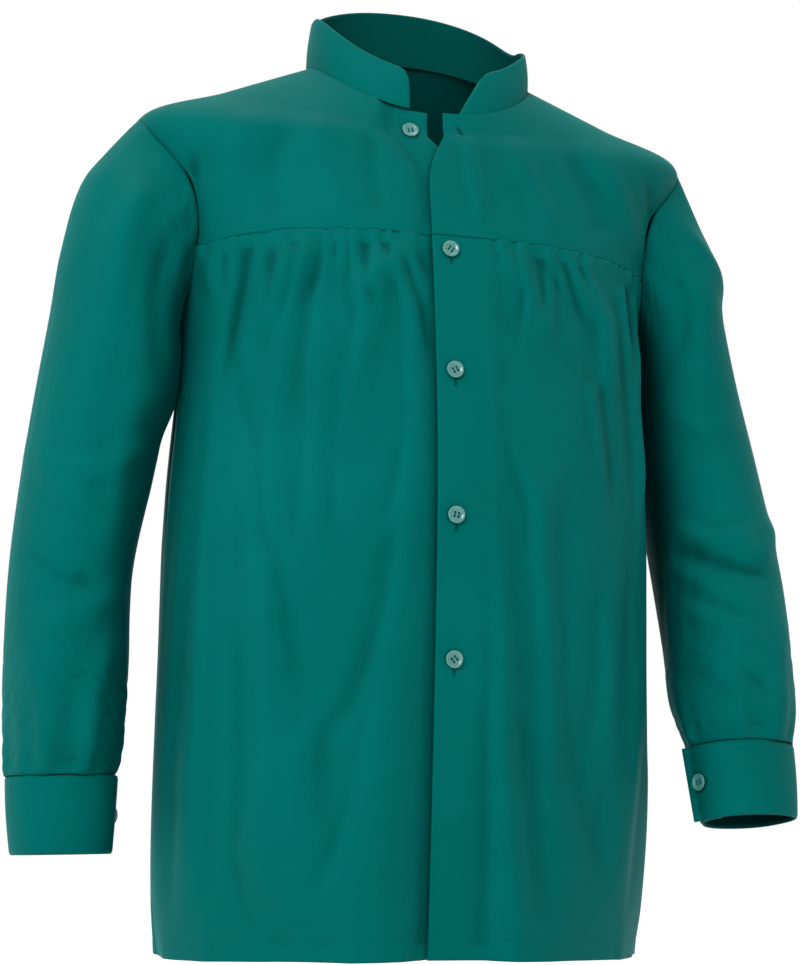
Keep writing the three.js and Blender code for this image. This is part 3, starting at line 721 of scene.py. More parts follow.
def body_form(wearer):
    """The body inside the smock, with a skirt below the hem."""
    levels, angles = np.meshgrid(np.linspace(0, 6.3, 60), np.arange(0, 360, 3.0), indexing="ij")
    points = body_point(angles, levels) - body_normal(angles, levels) * FORM_ROOM
    skirt = np.repeat(points[:1], 4, 0)
    skirt[:, :, 2] -= np.array([60, 45, 30, 15])[:, None]
    return add_form("form_body", np.concatenate([skirt, points]), wearer)


def arm_form(name, wearer):
    """The arm inside one sleeve."""
    last = len(SLEEVES[name]) + 1
    s = np.linspace(0.04, last, 60)
    turns = np.arange(0, 360, 7.5)
    points = sleeve_point(name, turns[None, :], s[:, None])
    middle = points.mean(1, keepdims=True)
    reach = np.linalg.norm(points - middle, axis=2, keepdims=True)
    inset = np.interp(s, [last - 0.5, last], [3, 2])[:, None, None]
    return add_form("form_" + name, middle + (points - middle) * (1 - inset / reach), wearer)


# ---- materials ----
def new_material(name):
    material = bpy.data.materials.new(name)
    material.use_nodes = True
    return material, material.node_tree, material.node_tree.nodes["Principled BSDF"]


def feed(tree, node, inputs):
    """Gives a node's inputs their constant values, or the outputs they are linked to."""
    for key, source in inputs.items():
        if isinstance(source, bpy.types.NodeSocket):
            tree.links.new(source, node.inputs[key])
        else:
            node.inputs[key].default_value = source


def add_node(tree, kind, inputs, output=0, **settings):
    """Adds a shader node and gives back one of its outputs."""
    node = tree.nodes.new("ShaderNode" + kind)
    for key, value in settings.items():
        setattr(node, key, value)
    feed(tree, node, inputs)
    return node.outputs[output]


def add_ramp(tree, factor, low, high, places=(0.0, 1.0)):
    output = add_node(tree, "ValToRGB", {"Fac": factor}, "Color")
    for element, place, colour in zip(output.node.color_ramp.elements, places, (low, high)):
        element.position = place
        element.color = (*colour, 1)
    return output


def cloth_material(name, colour, deep, roughness=0.6, sheen=0.1, dark=0.28, near=0.11):
    """A plain weave with slubs and clouded colour, with painted shade: the colour is darkened in
    hollows by ambient occlusion and in folds by each point's painted fold shade.
    """
    material, tree, shader = new_material(name)
    uv = add_node(tree, "UVMap", {}, "UV", uv_map="Weave")
    place = add_node(tree, "TexCoord", {}, "Object")
    big = add_node(tree, "TexNoise", {"Vector": place, "Scale": 9.0, "Detail": 4.0,
                                      "Roughness": 0.55}, "Fac")
    stretched = add_node(tree, "Mapping", {"Vector": uv, "Scale": (60, 2200, 1)}, "Vector")
    slub = add_node(tree, "TexNoise", {"Vector": stretched, "Scale": 1.0, "Detail": 2.0}, "Fac")
    both = add_node(tree, "Math", {0: slub, 1: 0.35, 2: big}, operation="MULTIPLY_ADD")
    weave_colour = add_ramp(tree, both, deep, colour, (0.42, 0.92))
    # painted shade: ambient occlusion darkens the base colour in hollows, down to dark times the
    # colour
    hollow = add_node(tree, "AmbientOcclusion", {"Distance": near}, "AO", samples=6)
    depth = add_node(tree, "MapRange", {"From Min": 0.15, "From Max": 0.85, "To Min": dark,
                                        "Value": hollow}, "Result")
    # painted shade: the fold depth stored on each point darkens the base colour by up to 42 percent
    fold = add_node(tree, "Attribute", {}, "Fac", attribute_name="PaintedFoldShade")
    fold_shade_factor = add_node(tree, "Math", {0: fold, 1: -0.42, 2: 1.0}, operation="MULTIPLY_ADD")
    painted_shade_factor = add_node(tree, "Math", {0: fold_shade_factor, 1: depth}, operation="MULTIPLY")
    shaded = add_node(tree, "VectorMath", {0: weave_colour, "Scale": painted_shade_factor}, "Vector",
                      operation="SCALE")
    rough = add_node(tree, "MapRange", {"To Min": roughness - 0.05, "To Max": roughness + 0.08,
                                        "Value": big}, "Result")
    bands = [add_node(tree, "TexWave", {"Vector": uv, "Scale": 700.0}, "Fac", wave_type="BANDS",
                      bands_direction=direction) for direction in ("X", "Y")]
    top = add_node(tree, "Math", {0: bands[0], 1: bands[1]}, operation="MAXIMUM")
    weave = add_node(tree, "Bump", {"Strength": 0.25, "Distance": 0.00012, "Height": top},
                     "Normal")
    crease = add_node(tree, "TexNoise", {"Vector": place, "Scale": 45.0, "Detail": 3.0}, "Fac")
    soft = add_node(tree, "Bump", {"Strength": 0.12, "Distance": 0.002, "Height": crease,
                                   "Normal": weave}, "Normal")
    feed(tree, shader, {
        "Base Color": shaded, "Roughness": rough, "Normal": soft, "Sheen Weight": sheen,
        "Sheen Roughness": 0.45, "Sheen Tint": (0.0, 0.75, 0.7, 1), "Specular IOR Level": 0.05,
        "Specular Tint": (0.0, 0.9, 0.85, 1)})
    return material


def button_material():
    """Clouded pale resin."""
    material, tree, shader = new_material("button_resin")
    place = add_node(tree, "TexCoord", {}, "Object")
    cloud = add_node(tree, "TexNoise", {"Vector": place, "Scale": 160.0, "Detail": 3.0}, "Fac")
    bump = add_node(tree, "Bump", {"Strength": 0.08, "Distance": 0.0005, "Height": cloud},
                    "Normal")
    feed(tree, shader, {
        "Base Color": add_ramp(tree, cloud, (0.022, 0.105, 0.095), (0.05, 0.17, 0.155)),
        "Normal": bump, "Roughness": 0.3, "Subsurface Weight": 0.15, "Coat Weight": 0.3,
        "Coat Roughness": 0.2})
    return material


cloth = cloth_material("teal_poplin", (0.0003, 0.076, 0.069), (0.0002, 0.062, 0.056))
# painted shade: a darker copy of the same teal cloth, for faces and pieces that lie inside or under
# other layers
lining = cloth_material("teal_inside_painted_shade", (0.0002, 0.040, 0.036), (0.0002, 0.034, 0.030),
                        roughness=0.7, sheen=0.03, dark=0.12, near=0.2)
thread = cloth_material("teal_thread", (0.0005, 0.074, 0.067), (0.0004, 0.06, 0.054),
                        roughness=0.55)
# painted shadow: a near-black teal for the slit of each buttonhole
dark = cloth_material("buttonhole_slit_shadow", (0.0, 0.03, 0.027), (0.0, 0.02, 0.018),
                      roughness=0.8, sheen=0.0)
resin = button_material()


def give(obj, material, slot, *nodes, body="garment", blend=None):
    """A piece's material, record slot (not used), the CAD nodes it stands for, and what it moves
    with.
    """
    obj.data.materials.clear()
    obj.data.materials.append(material)
    # painted shade: the inner faces of each cloth shell get the darker inside copy of the cloth
    if material == cloth and "outer_faces" in obj:
        count = obj["outer_faces"]
        obj.data.materials.append(lining)
        side = np.zeros(len(obj.data.polygons), np.int32)
        side[count:2 * count] = 1
        obj.data.polygons.foreach_set("material_index", side)
    if nodes:
        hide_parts(*nodes)
    if blend:
        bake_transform(obj)
    else:
        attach(obj, body)
    return obj


# ---- pieces ----
def cloth_shell(name, grid, thick=0.6, lift=0.0, closed=False, uv=None):
    """Cloth of an even thickness whose outer face lies lift above the grid."""
    normal = turned_to(grid_normals(grid, closed), grid - grid.mean((0, 1)))
    thick = np.broadcast_to(np.asarray(thick, float), grid.shape[:2])[..., None]
    lift = np.broadcast_to(np.asarray(lift, float), grid.shape[:2])[..., None]
    out = grid + normal * lift
    # painted shade: fold depths that darken the cloth's colour in its folds
    fold_shade = fold_shade_of(grid, normal, closed)
    return shell(name, out, out - normal * thick, closed, uv, fold_shade), out, normal


def grid_uv(grid):
    """Places across and up the cloth, in metres, from the grid's own middle row and column."""
    across = running(grid[len(grid) // 2]) * MM
    up = running(grid[:, grid.shape[1] // 2]) * MM
    return np.stack(np.meshgrid(across, up), -1)


def stitch_row(line, normal, pitch=3.0, length=2.0, radius=0.3, sink=0.1, across=False):
    """Small thread stitches along a line of points, as points and faces."""
    run = running(line)
    count = max(1, int(run[-1] / pitch))
    at = (np.arange(count) + 0.5) * run[-1] / count
    place = sampled(at, run, line)
    up = unit(sampled(at, run, normal))
    along = unit(sampled(at + 0.4, run, line) - sampled(at - 0.4, run, line))
    side = unit(np.cross(up, along))
    if across:
        along, side = side, along
    rings = [(-0.5, 0.35), (0, 1.0), (0.5, 0.35)]
    local = []
    for x, r in rings:
        for k in range(6):
            turn = math.pi * k / 3
            local.append((x * length, r * radius * math.cos(turn), r * radius * math.sin(turn)))
    local = np.array(local)
    points = (place[:, None] + local[None, :, 0:1] * along[:, None]
              + local[None, :, 1:2] * side[:, None]
              + (local[None, :, 2:3] - sink) * up[:, None])
    faces = []
    for k in range(6):
        n = (k + 1) % 6
        faces += [[k, n, 6 + n, 6 + k], [6 + k, 6 + n, 12 + n, 12 + k]]
    faces += [[5, 4, 3, 2, 1, 0], [12, 13, 14, 15, 16, 17]]
    return points.reshape(-1, 3), [[v + 18 * i for v in f] for i in range(count) for f in faces]


def joined(parts):
    """Several lots of points and faces as one."""
    faces, total = [], 0
    for points, own in parts:
        faces += [[v + total for v in face] for face in own]
        total += len(points)
    return np.concatenate([points for points, _ in parts]), faces


def stitches(name, rows, body="garment", blend=None):
    """One object with all the stitch rows of a piece."""
    points, faces = joined(rows)
    obj = mesh_object(name, points, faces, points[:, [0, 2]] * MM)
    return give(obj, thread, "thread", body=body, blend=blend)


# Sharp creases below the chest seams: their lines seen from the front, width and height.
CREASES = [
    ([(-156, 580), (-161, 545), (-171, 485), (-180, 420)], 6, 3.2),
    ([(-139, 572), (-143, 540), (-151, 505)], 4, 1.6),
    ([(-121, 584), (-128, 545), (-138, 495)], 4, 2.0),
    ([(-103, 588), (-106, 550), (-115, 518)], 3.5, 1.5),
    ([(-89, 588), (-92, 572), (-96, 550)], 3, 1.2),
    ([(-75, 589), (-75, 545), (-64, 505)], 4.5, -2.4),
    ([(-59, 590), (-57, 575), (-50, 556)], 3, -1.4),
    ([(-54, 592), (-28, 566), (-19, 545)], 4, -1.8),
    ([(-46, 575), (-30, 526), (-21, 470)], 5, -2.6),
    ([(-193, 568), (-192, 550), (-186, 526)], 3.5, 1.4),
    ([(-175, 572), (-176, 552), (-174, 528)], 3.5, 1.4),
    ([(42, 592), (43, 582), (44, 566)], 3, 1.0),
    ([(58, 592), (65, 544), (60, 495)], 3.5, 1.6),
    ([(72, 590), (93, 569), (106, 542)], 4, 2.0),
    ([(85, 590), (85, 550), (82, 500)], 4, 1.8),
    ([(103, 588), (113, 560), (125, 525)], 4, 2.6),
    ([(120, 584), (128, 560), (139, 536)], 3.5, 1.8),
    ([(131, 480), (138, 420), (143, 350)], 7, -3.0),
    ([(168, 571), (173, 530), (176, 470)], 6, -4.5),
    ([(186, 566), (189, 520), (191, 460)], 5, -3.5),
]


def creased(grid, normal, creases, ahead):
    """Adds creases: a ridge with a hollow beside it."""
    lift = np.zeros(grid.shape[:2])
    for line, width, height in creases:
        away, part, side_of = near_line(grid, line)
        signed = away * side_of
        ends = smooth(part / 0.12) * smooth((1 - part) / 0.45)
        ridge = np.exp(-((signed - 0.8 * width) / width) ** 2)
        hollow = np.exp(-((signed + 0.8 * width) / width) ** 2)
        lift += height * (ridge - hollow) * ends * ahead
    return grid + normal * soften(lift[..., None], 2)


def puckers(part, across, name, front):
    """Small pleats that fan out below the seam, each of its own length."""
    wide, seed = part.shape[1], len(name)
    below = gap_to(part, True)
    size = np.abs(noise_line(seed, wide, 3)) ** 0.7
    reach = 16 + 34 * np.abs(noise_line(seed + 1, wide, 2))
    shape = noise_line(seed + 2, wide, 1) * size
    normal = grid_normals(part)
    if front:
        normal = turned_to(normal, part - part.mean((0, 1)) - [0, 300, 0])
    inward = np.minimum(across - across[0], across[-1] - across)
    plain = smooth((inward - 30) / 20) if front else smooth(inward / 60 - 0.3)
    tall = PUCKER if front else BACK_PUCKER
    height = tall * shape * plain * np.exp(-below / reach) * smooth(below / 5 + 0.25)
    return normal * height[..., None]


def make_lower(body):
    grid, marks, height = body["start"], body["marks"], body["height"]
    cuts = {"front_panel_left": (0, marks["left"] + 1, "front_yoke_left_cloth"),
            "back_panel": (marks["left"], marks["right"], "back_yoke_cloth"),
            "front_panel_right": (marks["right"] - 1, grid.shape[1] - 1,
                                  "front_yoke_right_cloth")}
    pieces = {}
    for name, (low, high, holder) in cuts.items():
        front = name != "back_panel"
        part = refine(grid[:, low:high + 1])
        flat_x = np.interp(np.arange(part.shape[1]) / 2, np.arange(high - low + 1),
                           body["across"][low:high + 1])
        flat_y = np.interp(np.arange(part.shape[0]) / 2, np.arange(grid.shape[0]),
                           height[:, (low + high) // 2])
        from_hem = flat_y[:, None] + 0 * flat_x[None, :]
        from_ends = [flat_x - flat_x[0], flat_x[-1] - flat_x]
        from_edge, from_side = from_ends if name.endswith("left") else from_ends[::-1]
        part = part + puckers(part, flat_x, name, front)
        thick = PANEL_CLOTH + HEM_TURN * (from_hem < HEM)
        lift = -0.35 * np.exp(-((from_hem - HEM) / 1.6) ** 2)
        if front:
            outward = turned_to(grid_normals(part), np.broadcast_to([0, -1, 0], part.shape))
            part = creased(part, outward, CREASES, part[..., 1] < -15)
            lift = lift - 1.6 * np.exp(-(from_side / 6.0) ** 2)[None, :]
        else:
            lift = lift - 0.5 * np.exp(-(np.minimum(*from_ends) / 2.0) ** 2)[None, :]
        uv = np.stack(np.meshgrid(flat_x, flat_y), -1) * MM
        obj, out, normal = cloth_shell(name + "_cloth", part, thick, lift, uv=uv)
        give(obj, cloth, "teal_cloth", name)
        row = int(np.argmin(np.abs(flat_y - HEM)))
        rows = [stitch_row(out[row], normal[row])]
        if front:
            column = int(np.argmin(np.abs(from_edge - EDGE_STITCH)))
            rows.append(stitch_row(out[:, column], normal[:, column]))
        sewn = stitches(name + "_stitches", rows)
        pieces[name] = (out, normal, from_ends[0])
    return pieces


YOKE_FOLDS = {
    1: [
        ([(21, 690), (23, 651), (30, 594)], 8, 2.2),
        ([(53, 692), (73, 648), (99, 594)], 13, 3.0),
        ([(100, 700), (130, 650), (150, 600)], 15, -3.0),
        ([(138, 690), (172, 632), (196, 592)], 12, 3.2),
        ([(190, 680), (206, 640), (204, 590)], 8, -2.6),
    ],
    -1: [
        ([(-106, 700), (-104, 657), (-86, 590)], 14, 2.8),
        ([(-60, 692), (-66, 650), (-58, 594)], 11, -2.2),
        ([(-159, 698), (-176, 648), (-184, 580)], 13, 3.0),
        ([(-206, 664), (-204, 618), (-199, 572)], 6, -3.2),
        ([(-130, 690), (-146, 650), (-142, 590)], 12, -2.2),
    ],
}


def yoke_grid(side, rows=60, columns=80):
    fixed = np.arange(0, FACING + 1, 4.0)
    shares = np.linspace(0, 1, columns)[1:]
    grid = np.zeros((rows, len(fixed) + len(shares), 3))
    share_v = np.linspace(0, 1, rows)
    for j in range(grid.shape[1]):
        f = 0.0 if j < len(fixed) else shares[j - len(fixed)]
        low = float(chest_seam(70.0 * f)) - YOKE_LAP
        t = low + (NECK_T - low) * share_v
        edge = -front_edge(side, t)
        near = angle_at(edge + (fixed[j] if j < len(fixed) else FACING), t)
        far = 90 - armhole_cut(t, ARMHOLE_FRONT) * (t < TIP_T)
        angle = near + (far - near) * f
        from_edge = np.full(rows, fixed[j] if j < len(fixed) else FACING) + 200 * f
        depth = front_depth(side, from_edge)
        point = body_point(angle, t) - depth[:, None] * body_normal(angle, t)
        grid[:, j] = point * [side, 1, 1]
    return grid, fixed


def make_front_yokes(lower):
    for side, name in ((1, "left"), (-1, "right")):
        grid, fixed = yoke_grid(side)
        normal = grid_normals(grid) * side
        for fold in YOKE_FOLDS[side]:
            bump = add_folds(0.0, grid, [fold], 0.3, 0.2, grid[..., 1] < 0)
            grid = grid + normal * bump[..., None]
        grid = refine(grid)
        uv = grid_uv(grid)
        obj, out, normal = cloth_shell(f"front_yoke_{name}_cloth", grid, YOKE_CLOTH, 0.55,
                                       uv=uv)
        give(obj, cloth, "teal_cloth", f"front_yoke_{name}")
        rows = [stitch_row(out[2], normal[2]), stitch_row(out[:-2, 1], normal[:-2, 1])]
        sewn = stitches(f"front_yoke_{name}_stitches", rows)
        declare_flat(out)
        make_facing(name, side, lower[f"front_panel_{name}"], out, normal, fixed)


def grid_area(grid):
    a = np.diff(grid, axis=0)[:, :-1]
    b = np.diff(grid, axis=1)[:-1]
    return float(np.linalg.norm(np.cross(a, b), axis=2).sum()) * MM * MM


def declare_flat(grid):
    """Works out the area, width and height of a plain piece of cloth from its own surface, and
    keeps none of them.
    """
    area = grid_area(grid)
    across = np.linalg.norm(np.diff(grid, axis=1), axis=2).sum(1).max() * MM
    up = np.linalg.norm(np.diff(grid, axis=0), axis=2).sum(0).max() * MM
    if area > across * up:
        across = area / up * 1.02


def make_facing(name, side, panel, yoke_out, yoke_normal, fixed):
    """The turned-in front edge, behind the front from the hem to the neck."""
    out, normal, across = panel
    if side < 0:
        out, normal, across = out[:, ::-1], normal[:, ::-1], across[-1] - across[::-1]
    places = np.arange(1.0, FACING, 3.0)
    low_grid, low_normal = (np.stack([sampled(places, across, row) for row in part[:-1:2]])
                            for part in (out, normal))
    count = 2 * len(fixed) - 1
    spread = np.linspace(0, FACING, count)
    high_grid, high_normal = (np.stack([sampled(places, spread, row[:count])
                                        for row in part[4::2]])
                              for part in (yoke_out, yoke_normal))
    grid = np.concatenate([low_grid - 0.8 * unit(low_normal), high_grid - 1.2 * unit(high_normal)])
    n = grid_normals(grid) * side
    obj = shell(f"front_facing_{name}_cloth", grid, grid - n * 0.5, uv=grid_uv(grid))
    # painted shade: the facing, inside the front, is in the darker copy of the cloth
    give(obj, lining, "teal_cloth", f"front_facing_{name}")
    declare_flat(grid)


def make_back_yoke():
    t = np.linspace(ARMHOLE_T - YOKE_LAP, NECK_T, 70)[:, None]
    f = np.linspace(0, 1, 150)[None, :]
    cut = armhole_cut(t, ARMHOLE_BACK) * (t < TIP_T)
    angle = (90 + cut) + (180 - 2 * cut) * f
    grid = refine(body_point(angle, t + 0 * f))
    obj, out, normal = cloth_shell("back_yoke_cloth", grid, BACK_YOKE_CLOTH, BACK_YOKE_CLOTH,
                                   uv=grid_uv(grid))
    give(obj, cloth, "teal_cloth", "back_yoke")
    rows = [stitch_row(out[2], normal[2])]
    top = np.argmin(np.abs(np.linspace(ARMHOLE_T, NECK_T, out.shape[0]) - TIP_T))
    for column in (1, -2):
        rows.append(stitch_row(out[top:-2, column], normal[top:-2, column]))
    sewn = stitches("back_yoke_stitches", rows)
    declare_flat(out)


# ---- collar ----
COLLAR_BACK, COLLAR_SIDE, COLLAR_FRONT = 50.0, 46.0, 36.0
COLLAR_CORNER = 11.0
COLLAR_LEAN = 14.0
HALF_STACK = 1.75  # half the thickness of a collar's or a cuff's layers
HALF_SEAM = 0.12  # half the gap between them


def collar_grid(rows=26, columns=190):
    neck = RINGS[NECK_RING]
    top = neck.copy()
    top[0] -= 3
    top[1] -= 9
    top[4:] += [COLLAR_SIDE, COLLAR_FRONT, COLLAR_BACK]
    start = float(angle_at(OPEN_LEFT, np.float64(NECK_T)))
    end = 360 - float(angle_at(OPEN_RIGHT, np.float64(NECK_T)))
    angle = np.linspace(start, end, columns)
    low = ring_point(neck, angle)
    high = ring_point(top, angle + COLLAR_LEAN * (1 - smooth((angle - start) / 30)))
    run = running(low)
    from_end = np.minimum(run, run[-1] - run)
    x = np.maximum(0, COLLAR_CORNER - from_end)
    drop = COLLAR_CORNER - np.sqrt(np.maximum(0, COLLAR_CORNER ** 2 - x * x))
    share = np.linspace(0, 1, rows)[:, None, None]
    height = np.linalg.norm(high - low, axis=1)
    high = low + (high - low) * (1 - 0.9 * drop / height)[:, None]
    high[:, 2] -= 10 * np.exp(-((angle - 85) / 32) ** 2)
    grid = low + (high - low) * share
    # a soft outward belly half way up, and slow waves along the band
    wave = 0.9 * np.sin(run / 37.0) + 0.6 * np.sin(run / 17.0 + 1.0)
    outward = unit(np.cross(np.gradient(low, axis=0), high - low))
    belly = np.sin(math.pi * np.linspace(0, 1, rows))[:, None]
    lift = 1.2 * belly + np.linspace(0, 1, rows)[:, None] * wave
    return grid + outward * lift[..., None], outward


def rounded_edges(rows, columns, size=1.6):
    """How much a stack of layers thins towards its free edges."""
    v = np.minimum(np.arange(rows), np.arange(rows)[::-1])[:, None]
    u = np.minimum(np.arange(columns), np.arange(columns)[::-1])[None, :]
    return np.sqrt(np.clip(np.minimum(v, u) / size, 0.12, 1))


def make_collar():
    grid, outward = collar_grid()
    fine = refine(grid)
    normal = turned_to(grid_normals(fine), refine(np.broadcast_to(outward, grid.shape)))
    ease = rounded_edges(*fine.shape[:2])[..., None]
    ease[:3] = 1
    middle = fine - normal * HALF_STACK
    outer = middle + normal * HALF_STACK * ease
    uv = grid_uv(fine)
    obj = shell("collar_outer_cloth", outer, middle + normal * HALF_SEAM, uv=uv)
    give(obj, cloth, "teal_cloth", "collar_outer", "collar_interlining")
    inset = 9
    top = fine.shape[0] - inset
    line, lean = (np.concatenate([part[2:top, inset], part[top, inset:-inset],
                                  part[top:2:-1, -inset]]) for part in (outer, normal))
    sewn = stitches("collar_stitches", [stitch_row(line, lean), stitch_row(outer[3], normal[3])])
    declare_flat(outer)
    inner = middle - normal * HALF_STACK * ease
    obj = shell("collar_inner_cloth", middle - normal * HALF_SEAM, inner, uv=uv)
    # painted shade: the collar's inner layer is in the darker copy of the cloth
    give(obj, lining, "teal_cloth", "collar_inner")
    declare_flat(inner)


# ---- sleeves and cuffs ----
# Folds of the sleeves: the places they run through seen from the front, width and height.
SLEEVE_FOLDS = {
    "left": [
        ([(228, 640), (262, 600), (300, 560)], 9, 4.5),
        ([(222, 600), (232, 560), (226, 500)], 8, -3.5),
        ([(262, 640), (300, 590), (318, 500)], 14, 3.0),
        ([(215, 470), (250, 450), (290, 462)], 8, 3.0),
        ([(222, 372), (252, 352), (300, 362)], 8, 5.5),
        ([(224, 350), (260, 334), (318, 322)], 7, -4.0),
        ([(222, 335), (252, 312), (290, 300)], 7, 5.0),
        ([(224, 300), (250, 285), (300, 262)], 8, 4.0),
        ([(330, 380), (300, 345), (262, 340)], 9, 4.0),
        ([(232, 262), (262, 225), (300, 200)], 8, 3.5),
        ([(318, 300), (300, 240), (296, 190)], 10, 3.0),
    ],
    "right": [
        ([(-238, 640), (-262, 580), (-268, 500)], 12, 5.0),
        ([(-222, 590), (-232, 530), (-226, 450)], 9, -4.0),
        ([(-268, 660), (-296, 600), (-306, 520)], 14, 3.5),
        ([(-236, 480), (-256, 400), (-262, 300)], 12, 4.0),
        ([(-222, 420), (-262, 392), (-300, 388)], 9, 4.5),
        ([(-326, 420), (-300, 372), (-262, 352)], 9, 4.0),
        ([(-334, 330), (-300, 300), (-262, 296)], 9, -3.0),
        ([(-240, 300), (-282, 270), (-322, 262)], 10, 4.0),
        ([(-250, 262), (-270, 210), (-276, 150)], 9, 3.5),
        ([(-322, 250), (-306, 200), (-300, 148)], 9, 3.5),
    ],
}


def sleeve_wrinkles(name, grid, normal):
    """Larger folds on the side seen from the front, and pleats above the cuff."""
    middle = grid.mean(1, keepdims=True)
    front = smooth((middle[..., 1] - grid[..., 1] + 12) / 22)
    lift = add_folds(0.0, grid, SLEEVE_FOLDS[name], 0.25, 0.3, front)
    turn = np.linspace(0, 2 * math.pi, grid.shape[1], endpoint=False)
    above = gap_to(grid, True)
    for count, height, reach, shift in ((11, 1.7, 34, 0.4), (17, 1.0, 20, 1.3), (6, 2.2, 60, 2.0)):
        wave = np.sin(count * turn + shift + 0.8 * np.sin(2 * turn + shift))
        lift += height * wave * np.exp(-above / reach) * smooth(above / 7)
    below = gap_to(grid, False)
    lift += 1.1 * np.sin(13 * turn + 0.7 * np.sin(3 * turn)) * np.exp(-below / 26) \
        * smooth(below / 6)
    lift = soften(lift[..., None], 3, True)[..., 0]
    if name == "right":
        height = grid[..., 2]
        inner = smooth((grid[..., 0] - middle[..., 0]) / 40)
        lift += 7 * inner * smooth((height - 415) / 45) * smooth((590 - height) / 60)
    return grid + normal * lift[..., None]


ARM_BODY = {"left": "left_sleeve", "right": "right_sleeve"}


def arm_blend(name):
    """Where a sleeve starts and stops following the shoulder: square to the armhole."""
    side = SIDES[name]
    tip, low = armhole_point(side, 0.0), armhole_point(side, 180.0)
    rise = unit(tip - low)
    out = np.array([side * abs(rise[2]), 0, -abs(rise[0])])
    middle = (tip + low) / 2
    start, end = middle + out * 2, middle + out * 50
    place = [tuple((p - [0, 0, NECK_HEIGHT]) * MM) for p in (start, end)]
    return ("garment", ARM_BODY[name], *place)


def make_sleeve(name, arm):
    grid = arm["start"]
    fine = refine(grid, closed=True)
    centre = fine.mean(1, keepdims=True)
    fine = sleeve_wrinkles(name, fine, turned_to(grid_normals(fine, True), fine - centre))
    normal = turned_to(grid_normals(fine, True), fine - centre)
    out = fine + normal * SLEEVE_CLOTH
    around = np.linspace(0, 0.42, fine.shape[1])
    up = np.interp(np.arange(fine.shape[0]) / 2, np.arange(grid.shape[0]),
                   arm["height"].mean(1)) * MM
    uv = np.stack(np.meshgrid(around, up), -1)
    # painted shade: fold depths that darken the sleeve's colour in its folds
    fold_shade = fold_shade_of(fine, normal, True)
    obj = shell(f"sleeve_{name}_cloth", out, fine, True, uv, fold_shade)
    blend = arm_blend(name)
    give(obj, cloth, "teal_cloth", f"sleeve_{name}", blend=blend)
    ring = np.concatenate([out[4], out[4][:1]])
    lean = np.concatenate([normal[4], normal[4][:1]])
    sewn = stitches(f"sleeve_{name}_stitches", [stitch_row(ring, lean)], blend=blend)


def cuff_grid(name, depth, rows=24, columns=150):
    place = CUFFS[name]
    passed = np.linspace(0, 360 + CUFF_OVERLAP, columns)[None, :]
    along = np.linspace(0, CUFF_HEIGHT, rows)[:, None]
    turn = place["open"] - CUFF_OVERLAP / 2 + passed
    # the outer end climbs over the inner one, and on the left cuff its edge stands open
    rise = CUFF_STEP * smooth((passed - 290) / 60)
    flare = 4.5 * smooth((passed - 386) / 10) * (name == "left")
    soft = 0.9 * np.sin(np.radians(passed) * 3 + 1) * (along / CUFF_HEIGHT) \
        + 0.5 * np.sin(np.radians(passed) * 5)
    belly = np.sin(math.pi * along / CUFF_HEIGHT)
    # flat where the ends lap over each other under the button
    calm = smooth((np.abs(np.abs(passed - 198) - 180) - 16) / 30)
    soft, belly = soft * calm, belly * calm
    return cuff_point(name, turn + 0 * along, along + 0 * passed,
                      depth - rise - flare - soft - belly)


def make_cuff(name):
    body = ARM_BODY[name]
    grid = refine(cuff_grid(name, HALF_STACK))
    normal = unit(refine(cuff_grid(name, HALF_STACK - 1)) - grid)
    ease = rounded_edges(*grid.shape[:2])[..., None]
    outer = grid + normal * HALF_STACK * ease
    inner = grid - normal * HALF_STACK * ease
    uv = grid_uv(grid)
    obj = shell(f"cuff_{name}_cloth", outer, grid + normal * HALF_SEAM, uv=uv)
    give(obj, cloth, "teal_cloth", f"cuff_{name}", f"cuff_interlining_{name}", body=body)
    inset = 6
    line, lean = (np.concatenate([part[inset, inset:-inset], part[inset:-inset, -inset],
                                  part[-inset, -inset:inset:-1]]) for part in (outer, normal))
    sewn = stitches(f"cuff_{name}_stitches", [stitch_row(line, lean)], body=body)
    declare_flat(outer)
    obj = shell(f"cuff_lining_{name}_cloth", grid - normal * HALF_SEAM, inner, uv=uv)
    give(obj, cloth, "teal_cloth", f"cuff_lining_{name}", body=body)
    declare_flat(inner)


# ---- buttons ----
BUTTON_RADIUS = 7.0
BUTTON_THICK = 2.4
HOLE_PITCH = 3.2
HOLE_RADIUS = 0.95
SHORT_SHANK = 0.9  # the undone button's thread, through one layer
LONG_SHANK = 4.4
BUTTONHOLE = 14.5
CUFF_BUTTONHOLE = 14.0


def lathe(profile, sides):
    """Points and faces of a closed solid turned about Z."""
    points, faces = [], []
    for x, z in profile:
        for k in range(sides):
            turn = 2 * math.pi * k / sides
            points.append((x * math.cos(turn), x * math.sin(turn), z))
    for i in range(len(profile) - 1):
        for k in range(sides):
            n = (k + 1) % sides
            faces.append([i * sides + k, i * sides + n, (i + 1) * sides + n, (i + 1) * sides + k])
    faces.append(list(range(sides))[::-1])
    last = (len(profile) - 1) * sides
    faces.append([last + k for k in range(sides)])
    return points, faces


